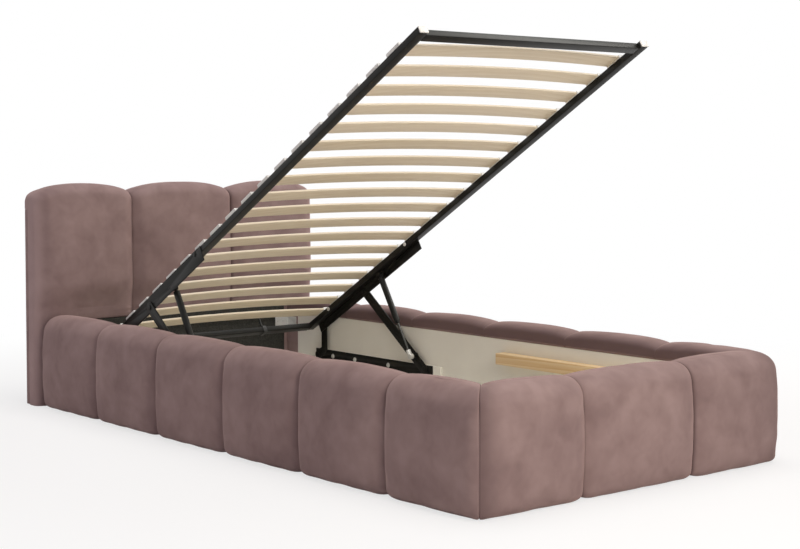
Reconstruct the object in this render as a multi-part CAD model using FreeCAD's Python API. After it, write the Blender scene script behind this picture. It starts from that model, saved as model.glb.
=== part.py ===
import FreeCAD, Part
import math
import os

# Upholstered storage bed with its slatted frame raised. Millimetres, +Z up, X across the bed,
# +Y from the foot towards the headboard, origin on the floor under the middle of the bed.

V = FreeCAD.Vector
ALONG_X = V(1, 0, 0)
ALONG_Y = V(0, 1, 0)
ALONG_Z = V(0, 0, 1)

# Overall sizes
bed_width = 1215.0
rail_pad_count = 6
rail_pad_length = 383.0
rail_height = 330.0
headboard_height = 791.0
headboard_depth = 96.0
centre_pad_width = 433.0

# Rail build-up, counted outwards from the storage side
liner_thickness = 4.0
board_thickness = 18.0
rail_pad_depth = 111.5
rail_board_top = 273.0
lip_proud = 2.0
end_wrap_length = 70.0

# Headboard build-up, counted forwards from the back
back_cover_thickness = 3.0
headboard_board_top = 700.0
head_lining_top = 297.0
head_lining_inset = 17.0
head_lining_thickness = 4.0
head_batten_height = 40.0
headboard_front_gap = 0.5
lining_gap = 1.0

# Upholstery pads: edge roundings, crown and how far seams and free ends draw in
pad_floor_gap = 3.0
pad_bottom_round = 22.0
face_crown = 7.0
long_crown = 2.5
top_crown = 4.0
rail_edge_round = 58.0
lip_edge_run = 68.0
lip_edge_drop = 39.0
flat_top = 2.0
headboard_edge_round = 36.0
headboard_back_round = 10.0
seam_round = 42.0
seam_draw = 13.0
seam_top_round = 62.0
seam_top_draw = 9.0
seam_bottom_draw = 9.0
mitre_round = 52.0
mitre_draw = 26.0
mitre_top_draw = 9.0
mitre_bottom_draw = 4.0
headboard_seam_round = 56.0
headboard_seam_draw = 17.0
headboard_top_round = 195.0
headboard_seam_top_draw = 36.0
free_end_round = 66.0
free_end_draw = 34.0
free_end_top_draw = 58.0

# Floor of the storage box
glide_height = 16.0
glide_radius = 8.0
floor_batten_depth = 20.0
floor_batten_height = 16.0
floor_beam_width = 60.0
floor_panel_thickness = 4.0

# Pine strips that carry the closed frame
support_batten_depth = 40.0
support_batten_height = 38.0
support_batten_bottom = 193.0
support_batten_length = 916.0
closed_rest_gap = 1.0

# Slatted frame, laid flat: sl runs from its foot end to its head end, n is up from the tubes' top
frame_side_gap = 20.5
frame_foot_gap = 106.5
frame_head_gap = 78.0
tube_width = 30.0
tube_depth = 20.0
tube_wall = 1.5
cap_thickness = 4.0
foot_tube_inset = 14.0
cap_plug_length = 18.0
cap_plug_clearance = 0.2

# Sprung slats and their sockets
slat_count = 18
first_slat = 124.9
last_slat_inset = 110.9
slat_width = 53.0
slat_thickness = 8.0
slat_crown = 12.0
socket_length = 66.0
socket_wall = 3.0
socket_floor = 1.0
socket_roof = 1.5
socket_clearance = 0.3
socket_edge_inset = 1.5

# Lift mechanism, from the frame outwards; stations along the frame count from its head end
lift_plate_thickness = 3.0
link_thickness = 4.0
base_plate_thickness = 3.0
running_gap = 0.5
lift_plate_foot_inset = 732.0
lift_plate_head_inset = 44.0
lift_plate_depth = 50.0
lift_plate_bolt_insets = (40.0, 125.0)
pivot_drop = 34.0
front_pivot_inset = 359.0
rear_pivot_inset = 69.0
gas_pivot_inset = 499.0
front_base_pivot_from_head = 851.2
front_base_pivot_height = 131.58
rear_base_pivot_height = 123.5
open_arm_angle = 36.959
open_tilt = 30.63
base_plate_bottom = 97.0
base_plate_top = 147.0
base_plate_end_margin = 17.0
base_plate_foot_margin = 42.0
base_plate_lug_radius = 17.0
base_bolt_height = 125.0
base_bolt_offsets = (107.5, 242.5, 440.5)
spacer_overhang = 40.0
arm_half_width = 18.0
link_half_width = 16.5
link_elbow_rise = 20.0
gas_lug_radius = 13.0
gas_lug_along = 62.2
gas_lug_side = 7.8

# Pins, studs and bolts
pivot_pin_radius = 6.0
pin_clearance = 0.05
pin_head_radius = 9.5
pin_head_thickness = 2.0
head_gap = 0.3
stud_radius = 5.0
stud_head_radius = 7.5
bolt_radius = 4.0
bolt_head_radius = 7.0
bolt_head_thickness = 3.5
bolt_bite = 10.0
screw_radius = 2.0
screw_head_radius = 4.0
screw_head_thickness = 2.0
screw_length = 10.0
hole_clearance = 0.2

# Gas springs
gas_inboard = 19.5
gas_eye_radius = 9.5
gas_eye_width = 10.0
gas_neck_radius = 4.5
gas_cylinder_radius = 11.0
gas_cylinder_start = 14.0
gas_cylinder_end = 190.0
gas_collar_radius = 8.0
gas_collar_length = 6.0
gas_rod_radius = 5.0
gas_rod_inside = 12.0
gas_bore_depth = 150.0
gas_end_radius = 8.0
gas_end_length = 12.0

# Corner brackets
bracket_leg = 60.0
bracket_height = 36.0
bracket_thickness = 2.5
head_bracket_bottom = 218.0
foot_bracket_bottom = 130.0
bracket_screw_insets = (22.0, 46.0)

# Mattress stop at the head end
stop_half_width = 213.0
stop_height = 72.0
stop_radius = 4.0
stop_bend = 25.0
clamp_length = 16.0
clamp_wall = 2.5

# Worked out from the sizes above
rails_length = rail_pad_count * rail_pad_length
foot_y = -(rails_length + headboard_depth) / 2
rails_end_y = foot_y + rails_length
back_y = rails_end_y + headboard_depth
half_width = bed_width / 2
board_outset = liner_thickness + board_thickness
rail_thickness = board_outset + rail_pad_depth
liner_x = half_width - rail_thickness
foot_liner_y = foot_y + rail_thickness
foot_board_y = foot_liner_y - board_outset
floor_batten_top = glide_height + floor_batten_height
floor_top = floor_batten_top + floor_panel_thickness
frame_half = liner_x - frame_side_gap
frame_length = rails_end_y - foot_liner_y - frame_foot_gap - frame_head_gap
slat_pitch = (frame_length - first_slat - last_slat_inset) / (slat_count - 1)
lift_plate_foot_end = frame_length - lift_plate_foot_inset
lift_plate_head_end = frame_length - lift_plate_head_inset
front_pivot_station = frame_length - front_pivot_inset
rear_pivot_station = frame_length - rear_pivot_inset
gas_pivot_station = frame_length - gas_pivot_inset
closed_top = support_batten_bottom + support_batten_height + closed_rest_gap + tube_depth
closed_foot_y = foot_liner_y + frame_foot_gap
lift_plate_x = frame_half
link_x = lift_plate_x + lift_plate_thickness + running_gap
base_plate_x = link_x + link_thickness + running_gap
spacer_x = base_plate_x + base_plate_thickness
gas_x = frame_half - gas_inboard
rod_eye_x = gas_x + gas_end_radius + head_gap


def turned(y, z, angle):
    """Turns a point of the Y-Z plane about the origin, from +Y towards +Z."""
    turn = math.radians(angle)
    return y * math.cos(turn) - z * math.sin(turn), y * math.sin(turn) + z * math.cos(turn)


# Linkage: closed places of the two frame pivots, then their raised places, then the rear base pivot,
# which is the point of its level that lies equally far from both places of the rear frame pivot
F0 = (rails_end_y - front_base_pivot_from_head, front_base_pivot_height)
F1_closed = (closed_foot_y + front_pivot_station, closed_top - pivot_drop)
R1_closed = (closed_foot_y + rear_pivot_station, closed_top - pivot_drop)
arm_length = math.hypot(F1_closed[0] - F0[0], F1_closed[1] - F0[1])
arm_reach = turned(arm_length, 0, open_arm_angle)
F1 = (F0[0] + arm_reach[0], F0[1] + arm_reach[1])
tilt_from_front = turned(front_pivot_station, -pivot_drop, -open_tilt)
frame_y = F1[0] - tilt_from_front[0]
frame_z = F1[1] - tilt_from_front[1]


def on_frame(sl, n):
    """Gives the raised place of a point of the slatted frame."""
    y, z = turned(sl, n, -open_tilt)
    return frame_y + y, frame_z + z


R1 = on_frame(rear_pivot_station, -pivot_drop)
rear_step = (R1_closed[0] - R1[0], R1_closed[1] - R1[1])
rear_middle = ((R1_closed[0] + R1[0]) / 2, (R1_closed[1] + R1[1]) / 2)
rear_drop = rear_middle[1] - rear_base_pivot_height
R0 = (rear_middle[0] + rear_drop * rear_step[1] / rear_step[0], rear_base_pivot_height)
G1 = on_frame(gas_pivot_station, -pivot_drop)
gas_lug = turned(gas_lug_along, gas_lug_side, open_arm_angle)
G0 = (F0[0] + gas_lug[0], F0[1] + gas_lug[1])
base_plate_foot_y = F0[0] - base_plate_foot_margin
base_plate_head_y = R0[0] + base_plate_end_margin


def block(x0, x1, y0, y1, z0, z1):
    """Makes a box from its two corners."""
    return Part.makeBox(x1 - x0, y1 - y0, z1 - z0, V(x0, y0, z0))


def across(x0, x1, place, radius):
    """Makes a round bar along X through a point of the Y-Z plane."""
    return Part.makeCylinder(radius, x1 - x0, V(x0, place[0], place[1]), ALONG_X)


def mirrored(shape):
    """Gives the same piece for the other side of the bed."""
    return shape.mirror(V(0, 0, 0), ALONG_X)


def both_sides(shapes):
    """Gives the pieces and their mirror images."""
    return list(shapes) + [mirrored(shape) for shape in shapes]


def raised(shape):
    """Tilts a piece of the flat slatted frame to the raised frame's place."""
    turn = FreeCAD.Rotation(ALONG_X, -open_tilt)
    return shape.transformed(FreeCAD.Placement(V(0, frame_y, frame_z), turn).toMatrix())


def save(node, shapes):
    """Writes one node, a single solid or a group of separate solids."""
    group = shapes if isinstance(shapes, list) else [shapes]
    shape = group[0] if len(group) == 1 else Part.makeCompound(group)
    shape.exportStep(os.path.join("parts", node + ".step"))


def save_pair(name, shape):
    """Writes the right-hand piece and its left-hand mirror image."""
    save("right_" + name, shape)
    save("left_" + name, mirrored(shape))


# Soft pads: each is a loft of hooked sections, which lie over their board and turn down behind it.
# In a section, a is the distance out from the hooked side and z is up.
def arc(start, middle, end):
    """Makes an arc edge through three points."""
    return Part.Arc(start, middle, end).toShape()


def pad_section(place, face, top, bottom, hook, board, hook_bottom, face_round, hook_run, hook_drop):
    """Draws one section of a pad; place turns (a, z) into a point."""
    corner = 1 - math.sqrt(0.5)
    run = min(hook_run, face - face_round - flat_top - hook)
    middle = (top - face_round + bottom + pad_bottom_round) / 2
    points = {
        "foot": (board, bottom),
        "low": (face - pad_bottom_round, bottom),
        "low_arc": (face - pad_bottom_round * corner, bottom + pad_bottom_round * corner),
        "face_low": (face, bottom + pad_bottom_round),
        "crest": (face + face_crown, middle),
        "face_high": (face, top - face_round),
        "high_arc": (face - face_round * corner, top - face_round * corner),
        "high": (face - face_round, top),
        "hook_top": (hook + run, top),
        "hook_arc": (hook + run * corner, top - hook_drop * corner),
        "hook_side": (hook, top - hook_drop),
        "hook_end": (hook, hook_bottom),
        "board_top": (board, hook_bottom),
    }
    at = {name: place(a, z) for name, (a, z) in points.items()}
    edges = [
        Part.LineSegment(at["foot"], at["low"]).toShape(),
        arc(at["low"], at["low_arc"], at["face_low"]),
        arc(at["face_low"], at["crest"], at["face_high"]),
        arc(at["face_high"], at["high_arc"], at["high"]),
        Part.LineSegment(at["high"], at["hook_top"]).toShape(),
        arc(at["hook_top"], at["hook_arc"], at["hook_side"]),
        Part.LineSegment(at["hook_side"], at["hook_end"]).toShape(),
        Part.LineSegment(at["hook_end"], at["board_top"]).toShape(),
        Part.LineSegment(at["board_top"], at["foot"]).toShape(),
    ]
    return Part.Wire(edges)


END_STEPS = (0.0, 0.05, 0.17, 0.36, 0.62, 1.0)
MIDDLE_STEPS = (0.25, 0.5, 0.75)


def drawn_in(along, end_round, draw):
    """Gives how far a surface draws in, at a distance from a pad's end."""
    share = max(0.0, 1 - along / end_round)
    return draw * (1 - math.sqrt(1 - share ** 2))


def draws_at(along, end):
    """Gives how far face, top and bottom draw in, at a distance from one end of a pad."""
    face_round, face_draw, top_round, top_draw, bottom_draw = end
    return (drawn_in(along, face_round, face_draw), drawn_in(along, top_round, top_draw),
            drawn_in(along, top_round, bottom_draw))


def pad(place, length, near, far, depth, height, board, hook, hook_bottom, face_round, hook_run, hook_drop):
    """Lofts a pad; near and far give each end's face rounding and draw, then its top's and its bottom's."""
    flat = length - near[0] - far[0]
    stations = [(step * near[0], 1.0) for step in END_STEPS]
    stations += [(near[0] + step * flat, (2 * step - 1) ** 2) for step in MIDDLE_STEPS]
    stations += [(length - step * far[0], 1.0) for step in reversed(END_STEPS)]
    wires = []
    for along, crown in stations:
        draws = [sum(both) for both in zip(draws_at(along, near), draws_at(length - along, far))]
        face = depth - face_crown - draws[0] - crown * long_crown
        top = height - draws[1] - crown * top_crown
        bottom = pad_floor_gap + draws[2]

        def at(a, z, along=along):
            return place(along, a, z)

        wires.append(pad_section(at, face, top, bottom, hook, board, hook_bottom, face_round, hook_run,
                                 hook_drop))
    return Part.makeLoft(wires, True, False)


SEAM = (seam_round, seam_draw, seam_top_round, seam_top_draw, seam_bottom_draw)
MITRE = (mitre_round, mitre_draw, seam_top_round, mitre_top_draw, mitre_bottom_draw)
HEADBOARD_SEAM = (headboard_seam_round, headboard_seam_draw, headboard_top_round,
                  headboard_seam_top_draw, 0.0)
FREE_END = (free_end_round, free_end_draw, headboard_top_round, free_end_top_draw, 0.0)


def rail_pad(place, length, near, far):
    """Makes one pad of a rail."""
    return pad(place, length, near, far, rail_thickness, rail_height, board_outset, -lip_proud,
               rail_board_top, rail_edge_round, lip_edge_run, lip_edge_drop)


def mitre_wedge(place):
    """Makes the wedge that mitres a pad at the corner where its length starts."""
    spare = lip_proud
    corners = [(-spare, -spare), (rail_thickness + spare, -spare), (-spare, rail_thickness + spare)]
    outline = Part.makePolygon([place(u, a, 0) for u, a in corners + corners[:1]])
    return Part.Face(outline).extrude(ALONG_Z * (rail_height + spare))


def right_rail_place(offset):
    """Places a right-hand rail pad whose length starts at an offset from the foot."""
    return lambda u, a, z: V(liner_x + a, foot_y + offset + u, z)


def foot_rail_place(offset):
    """Places a foot rail pad whose length starts at an offset from the left corner."""
    return lambda u, a, z: V(offset + u - half_width, foot_liner_y - a, z)


def headboard_place(offset):
    """Places a headboard pad whose length starts at an offset from the left end."""
    return lambda u, a, z: V(offset + u - half_width, back_y - a, z)


def make_rail_pads():
    """Writes the pads of the side rails and the foot rail."""
    for index in range(rail_pad_count):
        place = right_rail_place(index * rail_pad_length)
        shape = rail_pad(place, rail_pad_length, MITRE if index == 0 else SEAM, SEAM)
        if index == 0:
            shape = shape.cut(mitre_wedge(place))
        save_pair("rail_pad_%d" % (index + 1), shape)
    outer_width = half_width - centre_pad_width / 2
    corner_place = foot_rail_place(0)
    outer = rail_pad(corner_place, outer_width, MITRE, SEAM).cut(mitre_wedge(corner_place))
    save("foot_rail_pad_left", outer)
    save("foot_rail_pad_centre", rail_pad(foot_rail_place(outer_width), centre_pad_width, SEAM, SEAM))
    save("foot_rail_pad_right", mirrored(outer))


def make_headboard():
    """Writes the headboard's board, battens, lining, back cover and pads."""
    board_front = back_cover_thickness + board_thickness
    pad_depth = headboard_depth - headboard_front_gap
    lining_half = liner_x - head_lining_inset
    lining_space = block(-lining_half - lining_gap, lining_half + lining_gap,
                         rails_end_y - lining_gap, back_y - board_front, 0, head_lining_top + lining_gap)

    def headboard_pad(offset, width, near, far):
        shape = pad(headboard_place(offset), width, near, far, pad_depth, headboard_height, board_front,
                    0.0, headboard_board_top, headboard_edge_round, headboard_back_round,
                    headboard_back_round)
        return shape.cut(lining_space)

    outer_width = half_width - centre_pad_width / 2
    outer = headboard_pad(0, outer_width, FREE_END, HEADBOARD_SEAM)
    save("headboard_pad_left", outer)
    save("headboard_pad_centre",
         headboard_pad(outer_width, centre_pad_width, HEADBOARD_SEAM, HEADBOARD_SEAM))
    save("headboard_pad_right", mirrored(outer))

    cover_half = half_width - lip_proud
    board_half = cover_half - back_cover_thickness
    board_back = back_y - back_cover_thickness
    board = block(-board_half, board_half, back_y - board_front, board_back, glide_height,
                  headboard_board_top)
    save("headboard_board", board)
    cover = block(-cover_half, cover_half, back_y - board_front, back_y, pad_floor_gap,
                  headboard_board_top)
    hollow = block(-board_half, board_half, back_y - board_front, board_back, 0, headboard_board_top)
    save("headboard_back_cover", cover.cut(hollow))

    lining_back = rails_end_y + head_lining_thickness
    head_lining = block(-lining_half, lining_half, rails_end_y, lining_back, glide_height, head_lining_top)
    for hole in both_sides(bracket_holes()):
        head_lining = head_lining.cut(hole)
    save("head_lining", head_lining)
    battens = []
    for bottom in (glide_height, head_lining_top - head_batten_height):
        batten = block(-lining_half, lining_half, lining_back, back_y - board_front, bottom,
                       bottom + head_batten_height)
        for hole in both_sides(bracket_holes()):
            batten = batten.cut(hole)
        battens.append(batten)
    save("headboard_battens", battens)


def base_bolt_places():
    """Lists where each side's base plate is bolted to its rail."""
    return [(base_plate_head_y - offset, base_bolt_height) for offset in base_bolt_offsets]


def base_bolt_end():
    """Gives how far out the base plate's bolts reach."""
    return liner_x + liner_thickness + bolt_bite


def base_bolt_holes():
    """Makes the holes for the right-hand base plate's bolts."""
    radius = bolt_radius + hole_clearance
    return [across(base_plate_x, base_bolt_end() + hole_clearance, place, radius)
            for place in base_bolt_places()]


def bracket_corners():
    """Lists the right-hand corners with a bracket: wall plane, way out from it along Y and height."""
    return [(rails_end_y, -1, head_bracket_bottom), (foot_liner_y, 1, foot_bracket_bottom)]


def bracket_screw_rods(radius, start, end):
    """Makes a rod for each right-hand bracket screw; start and end count from its face into the wood."""
    rods = []
    face_x = liner_x - bracket_thickness
    for wall_y, way, bottom in bracket_corners():
        face_y = wall_y + way * bracket_thickness
        middle = bottom + bracket_height / 2
        for inset in bracket_screw_insets:
            rods.append(across(face_x + start, face_x + end, (face_y + way * inset, middle), radius))
            place = V(face_x - inset, face_y - way * start, middle)
            rods.append(Part.makeCylinder(radius, end - start, place, ALONG_Y * -way))
    return rods


def bracket_holes():
    """Makes the holes for the right-hand bracket screws."""
    return bracket_screw_rods(screw_radius + hole_clearance, 0, screw_length + hole_clearance)


def make_rails():
    """Writes the boards, liners and end wraps of the three rails."""
    board_x = liner_x + liner_thickness
    board = block(board_x, board_x + board_thickness, foot_board_y, rails_end_y, glide_height,
                  rail_board_top)
    wrap_y = rails_end_y - end_wrap_length
    liner = block(liner_x, board_x, foot_liner_y - liner_thickness, wrap_y, floor_top, rail_board_top)
    wrap = block(liner_x, board_x, wrap_y, rails_end_y, floor_top, rail_board_top)
    for hole in base_bolt_holes() + bracket_holes():
        board = board.cut(hole)
        liner = liner.cut(hole)
        wrap = wrap.cut(hole)
    save_pair("rail_board", board)
    save_pair("liner", liner)
    save("rail_end_wraps", both_sides([wrap]))
    foot_board = block(-board_x, board_x, foot_board_y, foot_board_y + board_thickness, glide_height,
                       rail_board_top)
    foot_liner = block(-liner_x, liner_x, foot_liner_y - liner_thickness, foot_liner_y, floor_top,
                       rail_board_top)
    for hole in both_sides(bracket_holes()):
        foot_board = foot_board.cut(hole)
        foot_liner = foot_liner.cut(hole)
    save("foot_rail_board", foot_board)
    save("foot_liner", foot_liner)


def make_brackets():
    """Writes the four corner brackets and their screws."""
    brackets = []
    for wall_y, way, bottom in bracket_corners():
        reach = sorted([wall_y, wall_y + way * bracket_leg])
        thick = sorted([wall_y, wall_y + way * bracket_thickness])
        side_leg = block(liner_x - bracket_thickness, liner_x, reach[0], reach[1], bottom,
                         bottom + bracket_height)
        wall_leg = block(liner_x - bracket_leg, liner_x, thick[0], thick[1], bottom,
                         bottom + bracket_height)
        bracket = fused([side_leg, wall_leg])
        for hole in bracket_holes():
            bracket = bracket.cut(hole)
        brackets.append(bracket)
    shanks = bracket_screw_rods(screw_radius, 0, screw_length)
    heads = bracket_screw_rods(screw_head_radius, -screw_head_thickness, 0)
    screws = [fused([shank, head]) for shank, head in zip(shanks, heads)]
    save("corner_brackets", both_sides(brackets))
    save("bracket_screws", both_sides(screws))


def make_floor():
    """Writes the storage floor, the strips under it and the glides."""
    board_x = liner_x + liner_thickness
    inner_foot_y = foot_board_y + board_thickness
    middle_y = (inner_foot_y + rails_end_y) / 2
    panels = [block(-board_x, board_x, inner_foot_y, middle_y, floor_batten_top, floor_top),
              block(-board_x, board_x, middle_y, rails_end_y, floor_batten_top, floor_top)]
    save("floor_panels", panels)
    ledger = block(board_x - floor_batten_depth, board_x, inner_foot_y, rails_end_y, glide_height,
                   floor_batten_top)
    beam = block(-floor_beam_width / 2, floor_beam_width / 2, inner_foot_y, rails_end_y, glide_height,
                 floor_batten_top)
    save("floor_battens", both_sides([ledger]) + [beam])
    side_x = board_x + board_thickness / 2
    foot_middle_y = foot_board_y + board_thickness / 2
    back_middle_y = back_y - back_cover_thickness - board_thickness / 2
    places = [(0, middle_y)]
    for y in (foot_middle_y, middle_y, rails_end_y - board_thickness):
        places += [(side_x, y), (-side_x, y)]
    for x in (-liner_x / 2, liner_x / 2):
        places += [(x, foot_middle_y)]
    for x in (-half_width + rail_pad_depth, 0, half_width - rail_pad_depth):
        places += [(x, back_middle_y)]
    glides = [Part.makeCylinder(glide_radius, glide_height, V(x, y, 0), ALONG_Z) for x, y in places]
    save("glides", glides)
    batten = block(liner_x - support_batten_depth, liner_x, foot_liner_y,
                   foot_liner_y + support_batten_length, support_batten_bottom,
                   support_batten_bottom + support_batten_height)
    save("support_battens", both_sides([batten]))


def strap(start, end, half, x0, x1):
    """Makes a flat bar with round ends between two points of the Y-Z plane."""
    length = math.hypot(end[0] - start[0], end[1] - start[1])
    along = ((end[0] - start[0]) / length, (end[1] - start[1]) / length)
    side = (-along[1] * half, along[0] * half)
    tip = (along[0] * half, along[1] * half)

    def at(place, sideways, onward):
        y = place[0] + sideways * side[0] + onward * tip[0]
        z = place[1] + sideways * side[1] + onward * tip[1]
        return V(x0, y, z)

    outline = Part.Wire([
        Part.LineSegment(at(start, 1, 0), at(end, 1, 0)).toShape(),
        arc(at(end, 1, 0), at(end, 0, 1), at(end, -1, 0)),
        Part.LineSegment(at(end, -1, 0), at(start, -1, 0)).toShape(),
        arc(at(start, -1, 0), at(start, 0, -1), at(start, 1, 0)),
    ])
    return Part.Face(outline).extrude(ALONG_X * (x1 - x0))


def fused(shapes):
    """Joins overlapping solids into one."""
    whole = shapes[0].fuse(shapes[1:]) if len(shapes) > 1 else shapes[0]
    return whole.removeSplitter()


def make_base_plates():
    """Writes the fixed half of the mechanism: spacers, base plates, their bolts and pivot pins."""
    plate = block(base_plate_x, spacer_x, base_plate_foot_y, base_plate_head_y, base_plate_bottom,
                  base_plate_top)
    lugs = [across(base_plate_x, spacer_x, place, base_plate_lug_radius) for place in (F0, R0)]
    plate = fused([plate] + lugs)
    spacer = block(spacer_x, liner_x, base_plate_foot_y - spacer_overhang, base_plate_head_y,
                   base_plate_bottom, base_plate_top)
    for hole in base_bolt_holes():
        plate = plate.cut(hole)
        spacer = spacer.cut(hole)
    for place in (F0, R0):
        plate = plate.cut(across(base_plate_x, spacer_x, place, pivot_pin_radius + pin_clearance))
    save_pair("base_plate", plate)
    save("mechanism_spacers", both_sides([spacer]))
    bolts = []
    for place in base_bolt_places():
        shank = across(base_plate_x, base_bolt_end(), place, bolt_radius)
        head = across(base_plate_x - bolt_head_thickness, base_plate_x, place, bolt_head_radius)
        bolts.append(fused([shank, head]))
    save("base_plate_bolts", both_sides(bolts))
    head_end = link_x - head_gap
    pins = []
    for place in (F0, R0):
        shank = across(head_end, spacer_x, place, pivot_pin_radius)
        head = across(head_end - pin_head_thickness, head_end, place, pin_head_radius)
        pins.append(fused([shank, head]))
    save("base_pivot_pins", both_sides(pins))


def make_links():
    """Writes the swinging arms and links with the arms' gas spring studs."""
    outer = link_x + link_thickness
    arm = fused([strap(F0, F1, arm_half_width, link_x, outer), across(link_x, outer, G0, gas_lug_radius)])
    for place in (F0, F1):
        arm = arm.cut(across(link_x, outer, place, pivot_pin_radius + pin_clearance))
    arm = arm.cut(across(link_x, outer, G0, stud_radius + pin_clearance))
    save_pair("front_arm", arm)
    stud = across(rod_eye_x + running_gap, outer, G0, stud_radius)
    save("arm_studs", both_sides([stud]))
    elbow = (R1[0], R0[1] + link_elbow_rise)
    boss = across(link_x, outer + pin_head_thickness, R1, pin_head_radius)
    link = fused([strap(elbow, R1, link_half_width, link_x, outer),
                  strap(R0, elbow, link_half_width, link_x, outer), boss])
    link = link.cut(across(link_x, outer, R0, pivot_pin_radius + pin_clearance))
    save_pair("rear_link", link)


def flat_across(x0, x1, sl, n, radius):
    """Makes a round bar along X on the flat slatted frame."""
    return across(x0, x1, (sl, n), radius)


def lift_plate_bolts():
    """Lists the stations of the bolts that hold a lift plate to its side tube."""
    foot_inset, head_inset = lift_plate_bolt_insets
    return lift_plate_foot_end + foot_inset, lift_plate_head_end - head_inset


def make_lift_plates():
    """Writes the lift plates on the frame's sides, their bolts, pivot pins and gas spring studs."""
    outer = lift_plate_x + lift_plate_thickness
    bolt_n = -tube_depth / 2
    plate = block(lift_plate_x, outer, lift_plate_foot_end, lift_plate_head_end, -lift_plate_depth, 0)
    bolts = []
    for sl in lift_plate_bolts():
        plate = plate.cut(flat_across(lift_plate_x, outer, sl, bolt_n, bolt_radius + hole_clearance))
        inner = frame_half - tube_width
        shank = flat_across(inner - bolt_head_thickness, outer, sl, bolt_n, bolt_radius)
        head = flat_across(outer, outer + pin_head_thickness, sl, bolt_n, bolt_head_radius)
        nut = flat_across(inner - bolt_head_thickness, inner, sl, bolt_n, bolt_head_radius)
        bolts.append(fused([shank, head, nut]))
    pins = []
    head_start = lift_plate_x - pin_head_thickness
    arm_outer = link_x + link_thickness + head_gap
    for sl, reach in ((front_pivot_station, arm_outer), (rear_pivot_station, outer)):
        hole_radius = pivot_pin_radius + pin_clearance
        plate = plate.cut(flat_across(lift_plate_x, outer, sl, -pivot_drop, hole_radius))
        pieces = [flat_across(head_start, reach, sl, -pivot_drop, pivot_pin_radius),
                  flat_across(head_start, lift_plate_x, sl, -pivot_drop, pin_head_radius)]
        if reach == arm_outer:
            pieces.append(flat_across(reach, reach + pin_head_thickness, sl, -pivot_drop, pin_head_radius))
        pins.append(fused(pieces))
    sl = gas_pivot_station
    plate = plate.cut(flat_across(lift_plate_x, outer, sl, -pivot_drop, stud_radius + pin_clearance))
    eye_inner = gas_x - gas_eye_width / 2 - head_gap
    pins.append(fused([flat_across(eye_inner - pin_head_thickness, outer, sl, -pivot_drop, stud_radius),
                       flat_across(eye_inner - pin_head_thickness, eye_inner, sl, -pivot_drop,
                                   stud_head_radius)]))
    save_pair("lift_plate", raised(plate))
    save("lift_plate_bolts", both_sides([raised(bolt) for bolt in bolts]))
    save("lift_plate_pins", both_sides([raised(pin) for pin in pins]))


def hollow_bar(x0, x1, y0, y1, along_x):
    """Makes a rectangular tube of the slatted frame, open at its ends."""
    bar = block(x0, x1, y0, y1, -tube_depth, 0)
    wall = tube_wall
    if along_x:
        return bar.cut(block(x0, x1, y0 + wall, y1 - wall, wall - tube_depth, -wall))
    return bar.cut(block(x0 + wall, x1 - wall, y0, y1, wall - tube_depth, -wall))


def make_tubes():
    """Writes the four tubes of the slatted frame and the caps on the side tubes."""
    inner = frame_half - tube_width
    side = hollow_bar(inner, frame_half, cap_thickness, frame_length - cap_thickness, False)
    for sl in lift_plate_bolts():
        side = side.cut(flat_across(inner, frame_half, sl, -tube_depth / 2, bolt_radius + hole_clearance))
    save_pair("side_tube", raised(side))
    save("foot_tube", raised(hollow_bar(-inner, inner, foot_tube_inset, foot_tube_inset + tube_width, True)))
    save("head_tube", raised(hollow_bar(-inner, inner, frame_length - tube_width, frame_length, True)))
    caps = []
    inset = tube_wall + cap_plug_clearance
    for start, end, plug_start in ((0, cap_thickness, cap_thickness),
                                   (frame_length - cap_thickness, frame_length,
                                    frame_length - cap_thickness - cap_plug_length)):
        cover = block(inner, frame_half, start, end, -tube_depth, 0)
        plug = block(inner + inset, frame_half - inset, plug_start, plug_start + cap_plug_length,
                     inset - tube_depth, -inset)
        caps.append(raised(fused([cover, plug])))
    save("tube_caps", both_sides(caps))


def make_slats():
    """Writes the bowed slats and the sockets that hold their ends."""
    inner = frame_half - tube_width + socket_edge_inset
    outer = frame_half - socket_edge_inset
    end_x = outer - socket_wall
    slat_half = end_x - socket_clearance
    bottom = socket_floor + socket_clearance
    rise = 2 * slat_crown / slat_half * (end_x - inner)
    socket_top = bottom + slat_thickness + rise + socket_clearance
    half_slot = slat_width / 2 + socket_clearance
    slats = []
    sockets = []
    for index in range(slat_count):
        middle = first_slat + index * slat_pitch
        start = middle - slat_width / 2
        top = bottom + slat_thickness
        outline = Part.Wire([
            arc(V(-slat_half, start, bottom), V(0, start, bottom + slat_crown),
                V(slat_half, start, bottom)),
            Part.LineSegment(V(slat_half, start, bottom), V(slat_half, start, top)).toShape(),
            arc(V(slat_half, start, top), V(0, start, top + slat_crown), V(-slat_half, start, top)),
            Part.LineSegment(V(-slat_half, start, top), V(-slat_half, start, bottom)).toShape(),
        ])
        slats.append(raised(Part.Face(outline).extrude(ALONG_Y * slat_width)))
        holder = block(inner, outer, middle - socket_length / 2, middle + socket_length / 2, 0,
                       socket_top + socket_roof)
        slot = block(inner, end_x, middle - half_slot, middle + half_slot, socket_floor, socket_top)
        sockets.append(raised(holder.cut(slot)))
    save("slats", slats)
    save("slat_sockets", both_sides(sockets))


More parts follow.
